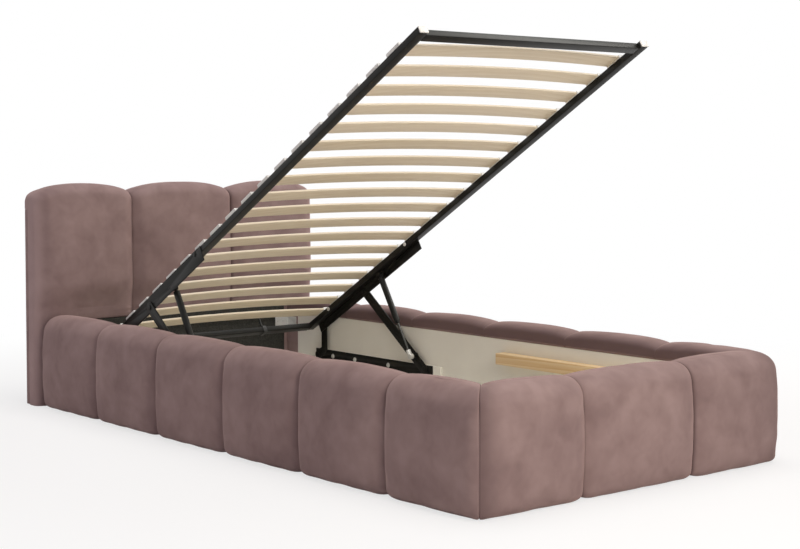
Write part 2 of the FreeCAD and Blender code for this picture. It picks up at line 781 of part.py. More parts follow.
def make_gas_springs():
    """Writes the gas springs' cylinders and rods, which run from the lift plates to the arms."""
    span = (G0[0] - G1[0], G0[1] - G1[1])
    length = math.hypot(span[0], span[1])
    along = V(0, span[0] / length, span[1] / length)
    top = V(gas_x, G1[0], G1[1])
    half_eye = gas_eye_width / 2

    def run(start, end, radius):
        return Part.makeCylinder(radius, end - start, top + along * start, along)

    eye = across(gas_x - half_eye, gas_x + half_eye, G1, gas_eye_radius)
    collar_end = gas_cylinder_end + gas_collar_length
    cylinder = fused([eye, run(0, gas_cylinder_start, gas_neck_radius),
                      run(gas_cylinder_start, gas_cylinder_end, gas_cylinder_radius),
                      run(gas_cylinder_end, collar_end, gas_collar_radius)])
    cylinder = cylinder.cut(across(gas_x - half_eye, gas_x + half_eye, G1, stud_radius + pin_clearance))
    cylinder = cylinder.cut(run(collar_end - gas_bore_depth, collar_end, gas_rod_radius + pin_clearance))
    save("gas_cylinders", both_sides([cylinder]))
    rod_start = collar_end - gas_rod_inside
    fitting_end = length - gas_eye_radius
    rod = fused([run(rod_start, fitting_end, gas_rod_radius),
                 run(fitting_end - gas_end_length, fitting_end, gas_end_radius),
                 run(fitting_end, length, gas_neck_radius),
                 across(gas_x - half_eye, rod_eye_x, G0, gas_eye_radius)])
    save("gas_rods", both_sides([rod]))


def make_mattress_stop():
    """Writes the bent rod that stops the mattress at the head end, and the clamps at its feet."""
    sl = frame_length - tube_width / 2
    reach = stop_half_width - stop_bend
    corner = stop_bend * (1 - math.sqrt(0.5))
    crest = stop_height - stop_radius
    foot = clamp_wall
    path = Part.Wire([
        Part.LineSegment(V(-stop_half_width, sl, foot),
                         V(-stop_half_width, sl, crest - stop_bend)).toShape(),
        arc(V(-stop_half_width, sl, crest - stop_bend), V(corner - stop_half_width, sl, crest - corner),
            V(-reach, sl, crest)),
        Part.LineSegment(V(-reach, sl, crest), V(reach, sl, crest)).toShape(),
        arc(V(reach, sl, crest), V(stop_half_width - corner, sl, crest - corner),
            V(stop_half_width, sl, crest - stop_bend)),
        Part.LineSegment(V(stop_half_width, sl, crest - stop_bend),
                         V(stop_half_width, sl, foot)).toShape(),
    ])
    ring = Part.Wire([Part.Circle(V(-stop_half_width, sl, foot), ALONG_Z, stop_radius).toShape()])
    save("mattress_stop", raised(path.makePipeShell([ring], True, False)))
    half = clamp_length / 2
    outside = block(stop_half_width - half, stop_half_width + half,
                    frame_length - tube_width - clamp_wall, frame_length + clamp_wall,
                    -tube_depth - clamp_wall, clamp_wall)
    inside = block(stop_half_width - half, stop_half_width + half, frame_length - tube_width, frame_length,
                   -tube_depth, 0)
    save("stop_clamps", both_sides([raised(outside.cut(inside))]))


os.makedirs("parts", exist_ok=True)
make_rail_pads()
make_headboard()
make_rails()
make_brackets()
make_floor()
make_base_plates()
make_links()
make_lift_plates()
make_tubes()
make_slats()
make_gas_springs()
make_mattress_stop()
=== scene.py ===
"""Upholstered storage bed with its slatted frame raised: its looks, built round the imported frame.

Metres, +Z up, X across the bed, +Y from the foot towards the headboard.
"""

import logging
import math
from dataclasses import dataclass, field
from enum import Enum
from typing import Any, Iterable, Optional, Union

import bmesh
import bpy
from mathutils import Matrix, Vector, noise


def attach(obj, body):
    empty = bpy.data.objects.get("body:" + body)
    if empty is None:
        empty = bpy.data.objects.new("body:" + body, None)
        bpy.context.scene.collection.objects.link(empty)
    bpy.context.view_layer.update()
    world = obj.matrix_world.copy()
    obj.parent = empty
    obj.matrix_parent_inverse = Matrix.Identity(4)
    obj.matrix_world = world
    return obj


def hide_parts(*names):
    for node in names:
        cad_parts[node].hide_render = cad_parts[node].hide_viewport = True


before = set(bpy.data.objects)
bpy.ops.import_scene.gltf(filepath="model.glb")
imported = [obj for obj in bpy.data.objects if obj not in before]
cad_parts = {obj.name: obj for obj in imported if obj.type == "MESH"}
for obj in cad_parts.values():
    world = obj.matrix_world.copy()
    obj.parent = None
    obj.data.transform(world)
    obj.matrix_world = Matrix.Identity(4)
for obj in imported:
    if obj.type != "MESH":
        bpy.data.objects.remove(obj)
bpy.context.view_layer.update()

LOG = logging.getLogger("storage_bed")
MM = 0.001
STITCHED = "stitched"
# The mark of painted light on velvet: painted shade above 0, painted highlight below 0
PAINTED_LIGHT = "painted_shade"
SLAT_TINT = "slat_tint"
# Edges of a piece that turn by less than this look round
SMOOTH_ANGLE = math.radians(33)
# Edges that turn by more than these are eased: a solid's edges, and a round bar's rims
SHARP_ANGLE = math.radians(40)
RIM_ANGLE = math.radians(80)
# Faces of a solid that turn by less than this are one face
FLAT_ANGLE = math.radians(1)
SAME_POINT = 0.005 * MM
# A point is held down where its stitched mark is over this
HELD = 0.5
UP = Vector((0, 0, 1))
TO_HEAD = Vector((0, 1, 0))
TO_FOOT = Vector((0, -1, 0))

Colour = tuple[float, float, float, float]
Place = tuple[float, float, float]
Box = tuple[Vector, Vector]
BMesh = bmesh.types.BMesh
Node = bpy.types.Node
NodeTree = bpy.types.NodeTree
Socket = bpy.types.NodeSocket
Sockets = dict[Union[str, int], Any]


class Side(Enum):
    """The bed's two sides, as the sign of X."""

    LEFT = -1
    RIGHT = 1

    @property
    def label(self) -> str:
        """The side's word in the names of pieces."""
        return self.name.lower()

    @property
    def way(self) -> Vector:
        """The way out from the bed's middle to this side."""
        return Vector((self.value, 0, 0))

    @classmethod
    def at(cls, place: Vector) -> "Side":
        """Gives the side that a place is on."""
        return cls.RIGHT if place.x > 0 else cls.LEFT

    def mirror(self) -> Matrix:
        """Gives the matrix that takes a piece of the right side to this one."""
        return Matrix.Scale(self.value, 4, (1, 0, 0))


def sided(name: str) -> list[str]:
    """Gives the names of a piece's left and right copies."""
    return [f"{side.label}_{name}" for side in Side]


class Body(Enum):
    """The rigid bodies that pieces ride on."""

    CASE = "bed_case"
    PLATFORM = "platform"
    ARMS = "front_arms"
    LINKS = "rear_links"
    CYLINDERS = "gas_cylinders"
    RODS = "gas_rods"


# Finishes


def linear(hex_colour: str) -> Colour:
    """Turns an sRGB hex colour into linear light.

    Args:
        hex_colour: Six hex digits after a hash sign.

    Returns:
        Linear red, green, blue and an alpha of 1.
    """
    parts = [int(hex_colour[i:i + 2], 16) / 255 for i in (1, 3, 5)]
    red, green, blue = [p / 12.92 if p <= 0.04045 else ((p + 0.055) / 1.055) ** 2.4 for p in parts]
    return red, green, blue, 1.0


def wire(tree: NodeTree, node: Node, sockets: Sockets) -> None:
    """Sets a node's inputs.

    Args:
        tree: The node's tree.
        node: The node.
        sockets: For an input's name or place, its value or the output that feeds it.
    """
    for name, value in sockets.items():
        if isinstance(value, Socket):
            tree.links.new(value, node.inputs[name])
        else:
            node.inputs[name].default_value = value


def add(tree: NodeTree, kind: str, sockets: Optional[Sockets] = None, **settings: Any) -> Node:
    """Adds a node with its settings and links.

    Args:
        tree: The node tree that gets the node.
        kind: The node's type name.
        sockets: For an input's name or place, its value or the output that feeds it.
        settings: The node's own properties.

    Returns:
        The new node.
    """
    node = tree.nodes.new(kind)
    for name, value in settings.items():
        setattr(node, name, value)
    wire(tree, node, sockets or {})
    return node


@dataclass
class Pattern:
    """What a finish draws: its share of light colour, its height, tones over that by weight, its gloss."""

    share: Socket
    height: Socket
    tones: list[tuple[Socket, str]] = field(default_factory=list)
    gloss: Sockets = field(default_factory=dict)


@dataclass(frozen=True)
class Finish:
    """A real material with its colours; light and dark are the ends of its colour variation."""

    name: str
    slot: str
    light: str
    dark: str
    roughness: float
    relief: float = 0.05 * MM
    relief_share: float = 0.3

    def material(self) -> bpy.types.Material:
        """Gives the finish's material, which is made at its first use.

        Returns:
            The material.
        """
        made = bpy.data.materials.get(self.name)
        if made is None:
            made = bpy.data.materials.new(self.name)
            made.use_nodes = True
            tree = made.node_tree
            pattern = self.pattern(tree, add(tree, "ShaderNodeTexCoord").outputs["Object"])
            colour: Union[Colour, Socket] = linear(self.dark)
            # A mix of colours has its factor at input 0, its colours at 6 and 7, and its result at output 2
            for weight, tone in [(pattern.share, self.light), *pattern.tones]:
                mix = add(tree, "ShaderNodeMix", {0: weight, 6: colour, 7: linear(tone)}, data_type="RGBA")
                colour = mix.outputs[2]
            bump = add(tree, "ShaderNodeBump", {"Height": pattern.height, "Distance": self.relief,
                                                "Strength": self.relief_share})
            wire(tree, tree.nodes["Principled BSDF"], {"Roughness": self.roughness, "Base Color": colour,
                                                       "Normal": bump.outputs["Normal"], **pattern.gloss})
        return made

    def pattern(self, tree: NodeTree, coords: Socket) -> Pattern:
        """Draws the pattern that makes this material what it is; each kind of material has its own.

        Args:
            tree: The material's node tree.
            coords: The output that gives the place on the piece.

        Returns:
            The pattern.
        """
        raise NotImplementedError


@dataclass(frozen=True)
class Velvet(Finish):
    """Short-pile woven velvet: soft matt cloth, cloudy where the pile is stroked, pale at grazing angles."""

    relief: float = 0.6 * MM
    relief_share: float = 0.25
    # The sizes of the pile's clouds, and the shares of light colour that each adds
    stroke: float = 90 * MM
    stroke_shares: tuple[float, float] = (0.06, 0.56)
    drift: float = 260 * MM
    drift_shares: tuple[float, float] = (0.0, 0.3)
    smudge: float = 34 * MM
    smudge_shares: tuple[float, float] = (0.02, 0.2)
    # The pile's threads are 0.3 mm apart, too fine to show, so the grain is drawn ten times as coarse
    pile: float = 3 * MM
    specular: float = 0.15
    sheen: float = 0.45
    sheen_roughness: float = 0.42
    sheen_tint: str = "#D9BDB4"
    # The tones of painted shade and painted highlight laid over the velvet, and how far the painted light
    # moves the clouds below them
    painted_shade: str = "#5E4B4C"
    painted_highlight: str = "#C0A8A5"
    lift: float = 0.5

    def pattern(self, tree: NodeTree, coords: Socket) -> Pattern:
        """Mixes stroked patches, slow drift and small smudges of the pile, over a fine grain, and lays
        painted shade and painted highlight from the pieces' marks over them.

        Args:
            tree: The material's node tree.
            coords: The output that gives the place on the piece.

        Returns:
            The pattern.
        """
        stroke = add(tree, "ShaderNodeTexNoise", {"Vector": coords, "Scale": 1 / self.stroke, "Detail": 2.0,
                                                  "Roughness": 0.45, "Distortion": 0.35}).outputs[0]
        drift = add(tree, "ShaderNodeTexNoise", {"Vector": coords, "Scale": 1 / self.drift, "Detail": 1.0})
        smudge = add(tree, "ShaderNodeTexNoise", {"Vector": coords, "Scale": 1 / self.smudge, "Detail": 1.0,
                                                  "Distortion": 0.5})
        # Painted light from each piece's marks: above 0 it lays painted shade, below 0 a painted highlight
        painted_light = add(tree, "ShaderNodeAttribute", attribute_name=PAINTED_LIGHT).outputs["Fac"]
        share = add(tree, "ShaderNodeMath", {0: painted_light, 1: self.lift}, operation="MULTIPLY").outputs[0]
        for cloud, start, end, shares in ((stroke, 0.3, 0.7, self.stroke_shares),
                                          (drift.outputs[0], 0.3, 0.7, self.drift_shares),
                                          (smudge.outputs[0], 0.25, 0.65, self.smudge_shares)):
            level = add(tree, "ShaderNodeMapRange", {"Value": cloud, "From Min": start, "From Max": end,
                                                     "To Min": shares[0], "To Max": shares[1]})
            total = add(tree, "ShaderNodeMath", {0: share, 1: level.outputs[0]}, operation="ADD")
            share = total.outputs[0]
        # The share of painted highlight, where the painted light is below 0
        raised = add(tree, "ShaderNodeMath", {0: painted_light, 1: -1.0}, operation="MULTIPLY", use_clamp=True)
        grain = add(tree, "ShaderNodeTexNoise", {"Vector": coords, "Scale": 1 / self.pile, "Detail": 2.0})
        height = add(tree, "ShaderNodeMath", {0: grain.outputs[0], 1: stroke}, operation="ADD")
        return Pattern(share, height.outputs[0], [(painted_light, self.painted_shade), (raised.outputs[0], self.painted_highlight)],
                       {"Specular IOR Level": self.specular, "Sheen Weight": self.sheen,
                        "Sheen Roughness": self.sheen_roughness, "Sheen Tint": linear(self.sheen_tint)})


@dataclass(frozen=True)
class Wood(Finish):
    """Planed timber: satin wood whose rings are drawn out along the grain."""

    relief: float = 0.2 * MM
    relief_share: float = 0.2
    run: float = 300 * MM
    ring: float = 9 * MM
    along_x: bool = False
    waviness: float = 2.5
    ring_share: float = 0.4
    pore_share: float = 0.5
    tint: str = ""

    def pattern(self, tree: NodeTree, coords: Socket) -> Pattern:
        """Draws rings out along the grain, with fine pores and, for slats, a tint of each one's own.

        Args:
            tree: The material's node tree.
            coords: The output that gives the place on the piece.

        Returns:
            The pattern.
        """
        fine, coarse = 1 / self.run, 1 / self.ring
        scale = (fine, coarse, coarse) if self.along_x else (coarse, fine, coarse)
        drawn = add(tree, "ShaderNodeMapping", {"Vector": coords, "Scale": scale}).outputs[0]
        rings = add(tree, "ShaderNodeTexWave", {"Vector": drawn, "Scale": 0.35, "Distortion": self.waviness,
                                                "Detail": 2.0, "Detail Scale": 0.8},
                    wave_type="BANDS", bands_direction="DIAGONAL", wave_profile="SAW")
        pores = add(tree, "ShaderNodeTexNoise", {"Vector": drawn, "Scale": 3.0, "Detail": 3.0,
                                                 "Roughness": 0.6})
        clouds = add(tree, "ShaderNodeTexNoise", {"Vector": drawn, "Scale": 0.3, "Detail": 2.0})
        growth = add(tree, "ShaderNodeMath", {0: rings.outputs[1], 1: self.ring_share, 2: clouds.outputs[0]},
                     operation="MULTIPLY_ADD")
        fade = add(tree, "ShaderNodeMapRange", {"Value": growth.outputs[0], "From Min": 0.35,
                                                "From Max": 1.05})
        speck = add(tree, "ShaderNodeMath", {0: pores.outputs[0], 1: self.pore_share, 2: fade.outputs[0]},
                    operation="MULTIPLY_ADD")
        share = add(tree, "ShaderNodeMath", {0: speck.outputs[0], 1: self.pore_share / 2},
                    operation="SUBTRACT", use_clamp=True)
        tones = []
        if self.tint:
            own = add(tree, "ShaderNodeAttribute", attribute_name=SLAT_TINT)
            tones.append((own.outputs["Fac"], self.tint))
        return Pattern(share.outputs[0], pores.outputs[0], tones)


@dataclass(frozen=True)
class Coated(Finish):
    """Sprayed, moulded or laminated surface: even colour with a faint cloud and a fine orange-peel relief."""

    cloud: float = 90 * MM
    peel: float = 2.5 * MM
    metallic: float = 0.0
    specular: float = 0.5
    scatter: float = 0.08

    def pattern(self, tree: NodeTree, coords: Socket) -> Pattern:
        """Clouds the colour and the gloss a little, over the peel of the coat.

        Args:
            tree: The material's node tree.
            coords: The output that gives the place on the piece.

        Returns:
            The pattern.
        """
        cloud = add(tree, "ShaderNodeTexNoise", {"Vector": coords, "Scale": 1 / self.cloud, "Detail": 4.0})
        peel = add(tree, "ShaderNodeTexNoise", {"Vector": coords, "Scale": 1 / self.peel, "Detail": 2.0})
        gloss = add(tree, "ShaderNodeMapRange", {"Value": peel.outputs[0],
                                                 "To Min": self.roughness - self.scatter,
                                                 "To Max": self.roughness + self.scatter})
        return Pattern(cloud.outputs[0], peel.outputs[0],
                       gloss={"Roughness": gloss.outputs[0], "Metallic": self.metallic,
                              "Specular IOR Level": self.specular})


@dataclass(frozen=True)
class Pressed(Finish):
    """Pressed chips or matted fibres: a mottle of small pieces with a rough, dull surface."""

    relief: float = 0.4 * MM
    relief_share: float = 0.4
    chip: float = 6 * MM
    specular: float = 0.2

    def pattern(self, tree: NodeTree, coords: Socket) -> Pattern:
        """Gives each chip or tuft its own shade and height.

        Args:
            tree: The material's node tree.
            coords: The output that gives the place on the piece.

        Returns:
            The pattern.
        """
        chips = add(tree, "ShaderNodeTexVoronoi", {"Vector": coords, "Scale": 1 / self.chip})
        fibres = add(tree, "ShaderNodeTexNoise", {"Vector": coords, "Scale": 1.5 / self.chip, "Detail": 3.0})
        tone = add(tree, "ShaderNodeSeparateColor", {0: chips.outputs["Color"]})
        share = add(tree, "ShaderNodeMath", {0: tone.outputs[0], 1: fibres.outputs[0]}, operation="MULTIPLY")
        return Pattern(share.outputs[0], fibres.outputs[0], gloss={"Specular IOR Level": self.specular})


# Matt mauve cloth with cloudy strokes
VELVET = Velvet("woven velvet", "mauve_velvet", "#A08A87", "#7D6867", 0.9)
# Dull dark cloth with a felted mottle
LINING = Pressed("spun-bond lining cloth", "dark_lining", "#4A4A45", "#2E2E2A", 0.95, chip=5 * MM)
# Even, pale and satin
LAMINATE = Coated("melamine-faced hardboard", "grey_laminate", "#F1F0E7", "#E8E6DC", 0.55, specular=0.35)
# Raw straw-coloured chips
CHIPBOARD = Pressed("chipboard", "chipboard", "#CDB083", "#A1804F", 0.85)
# Warm yellow wood with wide rings along the bed
PINE = Wood("planed pine", "pine", "#F3DDB4", "#DDB882", 0.55, run=420 * MM, ring=10 * MM)
# Pale, fine-grained veneer along each slat
BIRCH = Wood("birch veneer", "birch", "#E2D6BE", "#D5C6A8", 0.5, run=330 * MM, ring=4 * MM, along_x=True,
             waviness=1.0, tint="#EBE0CA")
# Black satin coat with a soft highlight
POWDER = Coated("powder-coated steel", "black_steel", "#1F1F1C", "#171715", 0.38, specular=0.17)
# Pale grey sheet with a dull shine
GALVANISED = Coated("galvanised sheet", "zinc_steel", "#E6E7E4", "#D6D8D5", 0.4, cloud=14 * MM, metallic=0.3)
# Bright small fastenings
ZINC = Coated("zinc-plated steel", "zinc_steel", "#E2E3E0", "#CBCDCA", 0.32, cloud=14 * MM, peel=1.5 * MM,
              metallic=0.4)
# Dark mirror of the gas rods
NITRIDED = Coated("nitrided steel", "bright_steel", "#4C4C49", "#3D3D3B", 0.22, metallic=1.0, scatter=0.03)
# Off-white and black mouldings with a soft sheen
NYLON = Coated("moulded pale nylon", "grey_plastic", "#EDEDE7", "#E2E2DC", 0.45)
BLACK_NYLON = Coated("moulded black nylon", "black_plastic", "#20201F", "#171716", 0.5)


# Mesh helpers


def cad_copy(node: str) -> BMesh:
    """Copies a CAD node's mesh with its loose triangles merged into whole faces.

    Args:
        node: The CAD node's name.

    Returns:
        A new bmesh.
    """
    bm = bmesh.new()
    bm.from_mesh(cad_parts[node].data)
    bmesh.ops.remove_doubles(bm, verts=bm.verts, dist=SAME_POINT)
    bmesh.ops.dissolve_limit(bm, angle_limit=FLAT_ANGLE, verts=bm.verts, edges=bm.edges)
    return bm


def bevelled(bm: BMesh, edges: list[bmesh.types.BMEdge], size: float, segments: int) -> BMesh:
    """Rounds some of a mesh's edges.

    Args:
        bm: The mesh.
        edges: The edges.
        size: The rounding's size, in metres.
        segments: How many faces make a rounding.

    Returns:
        The same mesh.
    """
    bmesh.ops.bevel(bm, geom=edges, offset=size, offset_type="OFFSET", affect="EDGES", segments=segments,
                    profile=0.5, material=-1, clamp_overlap=True)
    return bm


def eased(bm: BMesh, edge: float, segments: int = 2) -> BMesh:
    """Rounds a mesh's sharp edges.

    Args:
        bm: The mesh.
        edge: The rounding's size, in metres.
        segments: How many faces make a rounding.

    Returns:
        The same mesh.
    """
    sharp = [e for e in bm.edges if e.is_manifold and e.calc_face_angle(0) > SHARP_ANGLE]
    return bevelled(bm, sharp, edge, segments)


def islands(node: str) -> list[Box]:
    """Gives the box of each separate solid of a CAD node.

    Args:
        node: The CAD node's name.

    Returns:
        The lowest and highest corners, in the mesh's order.
    """
    bm = cad_copy(node)
    seen: set[bmesh.types.BMVert] = set()
    found = []
    for start in bm.verts:
        if start in seen:
            continue
        group, edge = {start}, [start]
        while edge:
            near = {e.other_vert(v) for v in edge for e in v.link_edges} - group
            group |= near
            edge = list(near)
        seen |= group
        spans = [[v.co[i] for v in group] for i in range(3)]
        found.append((Vector([min(s) for s in spans]), Vector([max(s) for s in spans])))
    bm.free()
    return found


def bar(low: Vector, high: Vector, edge: float = 0.0, segments: int = 3) -> BMesh:
    """Makes a box with its edges rounded.

    Args:
        low: Its lowest corner.
        high: Its highest corner.
        edge: The rounding's size, or 0 for none.
        segments: How many faces make a rounding.

    Returns:
        A new bmesh.
    """
    bm = bmesh.new()
    bmesh.ops.create_cube(bm, size=1.0)
    bmesh.ops.scale(bm, vec=high - low, verts=bm.verts)
    bmesh.ops.translate(bm, vec=(low + high) / 2, verts=bm.verts)
    return eased(bm, edge, segments) if edge else bm


def round_bar(radius: float, length: float, edge: float, sides: int = 32) -> BMesh:
    """Makes a bar along +X from the origin, with eased rims.

    Args:
        radius: Its radius.
        length: Its length.
        edge: The rims' rounding.
        sides: How many faces go round it; six make a hexagon.

    Returns:
        A new bmesh.
    """
    bm = bmesh.new()
    bmesh.ops.create_cone(bm, cap_ends=True, segments=sides, radius1=radius, radius2=radius, depth=length)
    bmesh.ops.translate(bm, vec=(0, 0, length / 2), verts=bm.verts)
    bmesh.ops.rotate(bm, cent=(0, 0, 0), matrix=Matrix.Rotation(math.pi / 2, 3, "Y"), verts=bm.verts)
    rims = [e for e in bm.edges if e.calc_face_angle(0) > RIM_ANGLE]
    return bevelled(bm, rims, edge, segments=2)


def joined(parts: Iterable[BMesh]) -> BMesh:
    """Puts several meshes into one.

    Args:
        parts: The meshes, which are used up.

    Returns:
        A new bmesh.
    """
    whole = bmesh.new()
    holder = bpy.data.meshes.new("joining")
    for part in parts:
        part.to_mesh(holder)
        part.free()
        whole.from_mesh(holder)
    bpy.data.meshes.remove(holder)
    return whole


def moved(bm: BMesh, place: Matrix) -> BMesh:
    """Moves a mesh, and turns its faces outwards again where the move mirrors it.

    Args:
        bm: The mesh.
        place: Where it goes.

    Returns:
        The same mesh.
    """
    bmesh.ops.transform(bm, matrix=place, verts=bm.verts)
    if place.determinant() < 0:
        bmesh.ops.reverse_faces(bm, faces=bm.faces)
    return bm


@dataclass
class SubAssembly:
    """Pieces that belong together on the bed."""

    made: list[bpy.types.Object] = field(default_factory=list)

    def piece(self, name: str, bm: BMesh, finish: Finish, body: Body,
              nodes: Iterable[str] = (), smooth: float = SMOOTH_ANGLE) -> bpy.types.Object:
        """Makes a finished piece from a mesh, and puts it on its body.

        Args:
            name: The piece's name.
            bm: Its mesh, which is used up.
            finish: Its finish.
            body: The body that it rides on.
            nodes: The CAD nodes that it stands for.
            smooth: Edges that turn by less than this look round.

        Returns:
            The new object.
        """
        mesh = bpy.data.meshes.new(name)
        bm.to_mesh(mesh)
        bm.free()
        mesh.materials.clear()
        mesh.materials.append(finish.material())
        mesh.shade_smooth()
        mesh.set_sharp_from_angle(angle=smooth)
        obj = bpy.data.objects.new(name, mesh)
        bpy.context.scene.collection.objects.link(obj)
        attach(obj, body.value)
        if nodes:
            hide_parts(*nodes)
        self.made.append(obj)
        LOG.info("%s: %d faces, %s, on %s", name, len(mesh.polygons), finish.name, body.value)
        return obj

    def eased_nodes(self, finish: Finish, body: Body, edge: float, nodes: Iterable[str]) -> None:
        """Stands in for CAD nodes with the same shapes, edges eased.

        Args:
            finish: Their finish.
            body: The body that they ride on.
            edge: The size of the eased edges.
            nodes: The CAD nodes' names.
        """
        for node in nodes:
            self.piece(node + "_dressed", eased(cad_copy(node), edge), finish, body, [node])

    def finished_nodes(self, finish: Finish, nodes: Iterable[str]) -> None:
        """Gives CAD nodes that stay as they are their finish.

        Args:
            finish: Their finish.
            nodes: The CAD nodes' names.
        """
        for node in nodes:
            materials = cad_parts[node].data.materials
            materials.clear()
            materials.append(finish.material())
            LOG.info("%s: CAD shape, %s", node, finish.name)


# Upholstery


def gentle(share: float) -> float:
    """Eases a share from 0 to 1 at both its ends."""
    return share * share * (3 - 2 * share)


@dataclass(frozen=True)
class PadEnd:
    """How a pad ends: how far and over what length its face, top and bottom draw in."""

    face_run: float
    face: float
    top_run: float
    top: float
    bottom: float
    mitred: bool = False

    def drawn(self, reach: float) -> Vector:
        """Gives how far face, top and bottom draw in.

        Args:
            reach: The distance from this end.

        Returns:
            The three draws.
        """
        shares = [max(0.0, 1 - reach / run) for run in (self.face_run, self.top_run, self.top_run)]
        bends = [1 - math.sqrt(max(0.0, 1 - share * share)) for share in shares]
        return Vector([draw * bend for draw, bend in zip((self.face, self.top, self.bottom), bends)])


SEAM = PadEnd(face_run=42 * MM, face=13 * MM, top_run=62 * MM, top=9 * MM, bottom=9 * MM)
MITRE = PadEnd(face_run=52 * MM, face=26 * MM, top_run=62 * MM, top=9 * MM, bottom=4 * MM, mitred=True)
HEADBOARD_SEAM = PadEnd(face_run=48 * MM, face=16 * MM, top_run=190 * MM, top=35 * MM, bottom=0.0)
FREE_END = PadEnd(face_run=46 * MM, face=27 * MM, top_run=175 * MM, top=43 * MM, bottom=0.0)


@dataclass(frozen=True)
class PadPoint:
    """A point of a pad's section: out, up, and whether it is stapled to the board."""

    out: float
    up: float
    stapled: bool


@dataclass(frozen=True)
class Pad:
    """A foam pad in velvet, laid over a board and turned down behind it.

    In its own frame x runs along the pad, y out from the hooked side and z up.
    """

    length: float
    near: PadEnd
    far: PadEnd
    depth: float = 133.5 * MM
    height: float = 330 * MM
    board: float = 22 * MM
    hook: float = -2 * MM
    hook_bottom: float = 273 * MM
    face_round: float = 58 * MM
    hook_run: float = 68 * MM
    hook_drop: float = 11 * MM
    hook_edge: float = 6 * MM
    flat_top: float = 2 * MM
    bottom_round: float = 21 * MM
    floor_gap: float = 0.8 * MM
    face_crown: float = 7 * MM
    long_crown: float = 2.5 * MM
    top_crown: float = 4 * MM
    # The cloth swells, so it starts from a shape that is smaller by this
    slack: float = 2 * MM
    # How close the skin's points are, and how many draw each stretch of a section
    step: float = 11 * MM
    end_steps: int = 8
    least_steps: int = 4
    under_points: int = 6
    low_points: int = 5
    least_face_points: int = 8
    high_points: int = 7
    top_points: int = 3
    fall_points: int = 8
    hook_points: int = 4
    turn_points: int = 2
    board_points: int = 12
    same_point: float = 0.01 * MM
    # The stitched groove at a mitred end, and the tries that find where the mitre is
    groove: float = 3 * MM
    groove_run: float = 5 * MM
    groove_shares: tuple[float, float] = (0.4, 0.8)
    mitre_tries: int = 14
    # Where the pad steps up over the head lining, counted from its near end, and half the step's length
    tuck: float = 0.0
    tuck_half: float = 1 * MM
    # How far the face bulges at its middle and all along, and the height from which nothing holds it back
    bulge: float = 9 * MM
    fuller: float = 0.0
    free_from: float = -1.0
    free_run: float = 90 * MM
    # Painted light at the near end, in the shade of the hooked side and in the seam's valley:
    # painted shade above 0, painted highlight below
    end_reach: float = 1 * MM
    end_painted_light: float = 0.0
    hook_painted_shade: float = 0.85
    hook_reach: float = 52 * MM
    seam_reach: float = 9 * MM
    seam_painted_shade: float = 0.9

    def stations(self) -> list[float]:
        """Lists where along the pad its sections stand, close together at the rounded ends.

        Returns:
            The distances from the near end, in order.
        """
        turns = [1 - math.cos(math.pi / 2 * k / self.end_steps) for k in range(self.end_steps + 1)]
        start, end = self.near.face_run, self.length - self.far.face_run
        count = max(self.least_steps, round((end - start) / self.step))
        middle = [start + (end - start) * k / count for k in range(1, count)]
        runs = [t * self.near.face_run for t in turns] + middle
        runs += [self.length - t * self.far.face_run for t in turns]
        if self.near.mitred:
            runs += [self.groove_run * share for share in self.groove_shares]
        if self.tuck:
            runs += [self.tuck - self.tuck_half, self.tuck + self.tuck_half]
        return sorted(runs)

    def swelling(self, along: float, up: float) -> float:
        """Gives how far the face bulges out.

        Args:
            along: The distance from the near end.
            up: The height.

        Returns:
            The bulge.
        """
        free = min(1.0, max(0.0, (up - self.free_from) / self.free_run))
        middle = 1 - (2 * along / self.length - 1) ** 2
        return (self.bulge * middle + self.fuller) * gentle(free)

    def painted_light(self, run: float, point: PadPoint) -> float:
        """Gives the painted light at a point.

        Args:
            run: How far the point's section is from the near end.
            point: The point.

        Returns:
            Above 0 for painted shade, below 0 for a painted highlight.
        """
        share = max(0.0, 1 - run / self.end_reach)
        inside = 0.0
        if point.up > self.hook_bottom and not point.stapled:
            inside = self.hook_painted_shade * max(0.0, 1 - (point.out - self.hook) / self.hook_reach)
        seam = self.seam_painted_shade * max(0.0, 1 - (self.length - run) / self.seam_reach)
        return max(self.end_painted_light * gentle(share), inside, seam, key=abs)

    def section(self, along: float, cut: float = 0.0) -> list[PadPoint]:
        """Draws the pad's outline at a station.

        Args:
            along: The distance from the near end.
            cut: How deep a stitched groove is there.

        Returns:
            The outline's points, the same count for any section.
        """
        draw = self.near.drawn(along) + self.far.drawn(self.length - along)
        half = (self.length - self.near.face_run - self.far.face_run) / 2
        flat = min(1.0, ((along - self.near.face_run - half) / half) ** 2)
        face = self.depth - self.face_crown - draw[0] - self.long_crown * flat - self.slack - cut
        top = self.height - draw[1] - self.top_crown * flat - self.slack - cut
        bottom = self.floor_gap + draw[2] + cut
        high, low, drop, edge = self.face_round, self.bottom_round, self.hook_drop, self.hook_edge
        run = min(self.hook_run, face - high - self.flat_top - self.hook)
        rise = top - high - bottom - low
        points: list[PadPoint] = []

        def line(start: tuple[float, float], end: tuple[float, float], count: int, stapled: bool) -> None:
            """Adds points along a line.

            Args:
                start: Where it starts.
                end: Where it ends, which gets no point.
                count: How many points it gets.
                stapled: Whether they are stapled to the board.
            """
            for k in range(count):
                share = k / count
                points.append(PadPoint(start[0] + (end[0] - start[0]) * share,
                                       start[1] + (end[1] - start[1]) * share, stapled))

        def bend(centre: tuple[float, float], radius: float, start: float, count: int) -> None:
            """Adds points along a quarter circle.

            Args:
                centre: Its centre.
                radius: Its radius.
                start: The angle where it starts, in degrees; its end gets no point.
                count: How many points it gets.
            """
            for k in range(count):
                angle = math.radians(start + 90 * k / count)
                points.append(PadPoint(centre[0] + radius * math.cos(angle),
                                       centre[1] + radius * math.sin(angle), False))

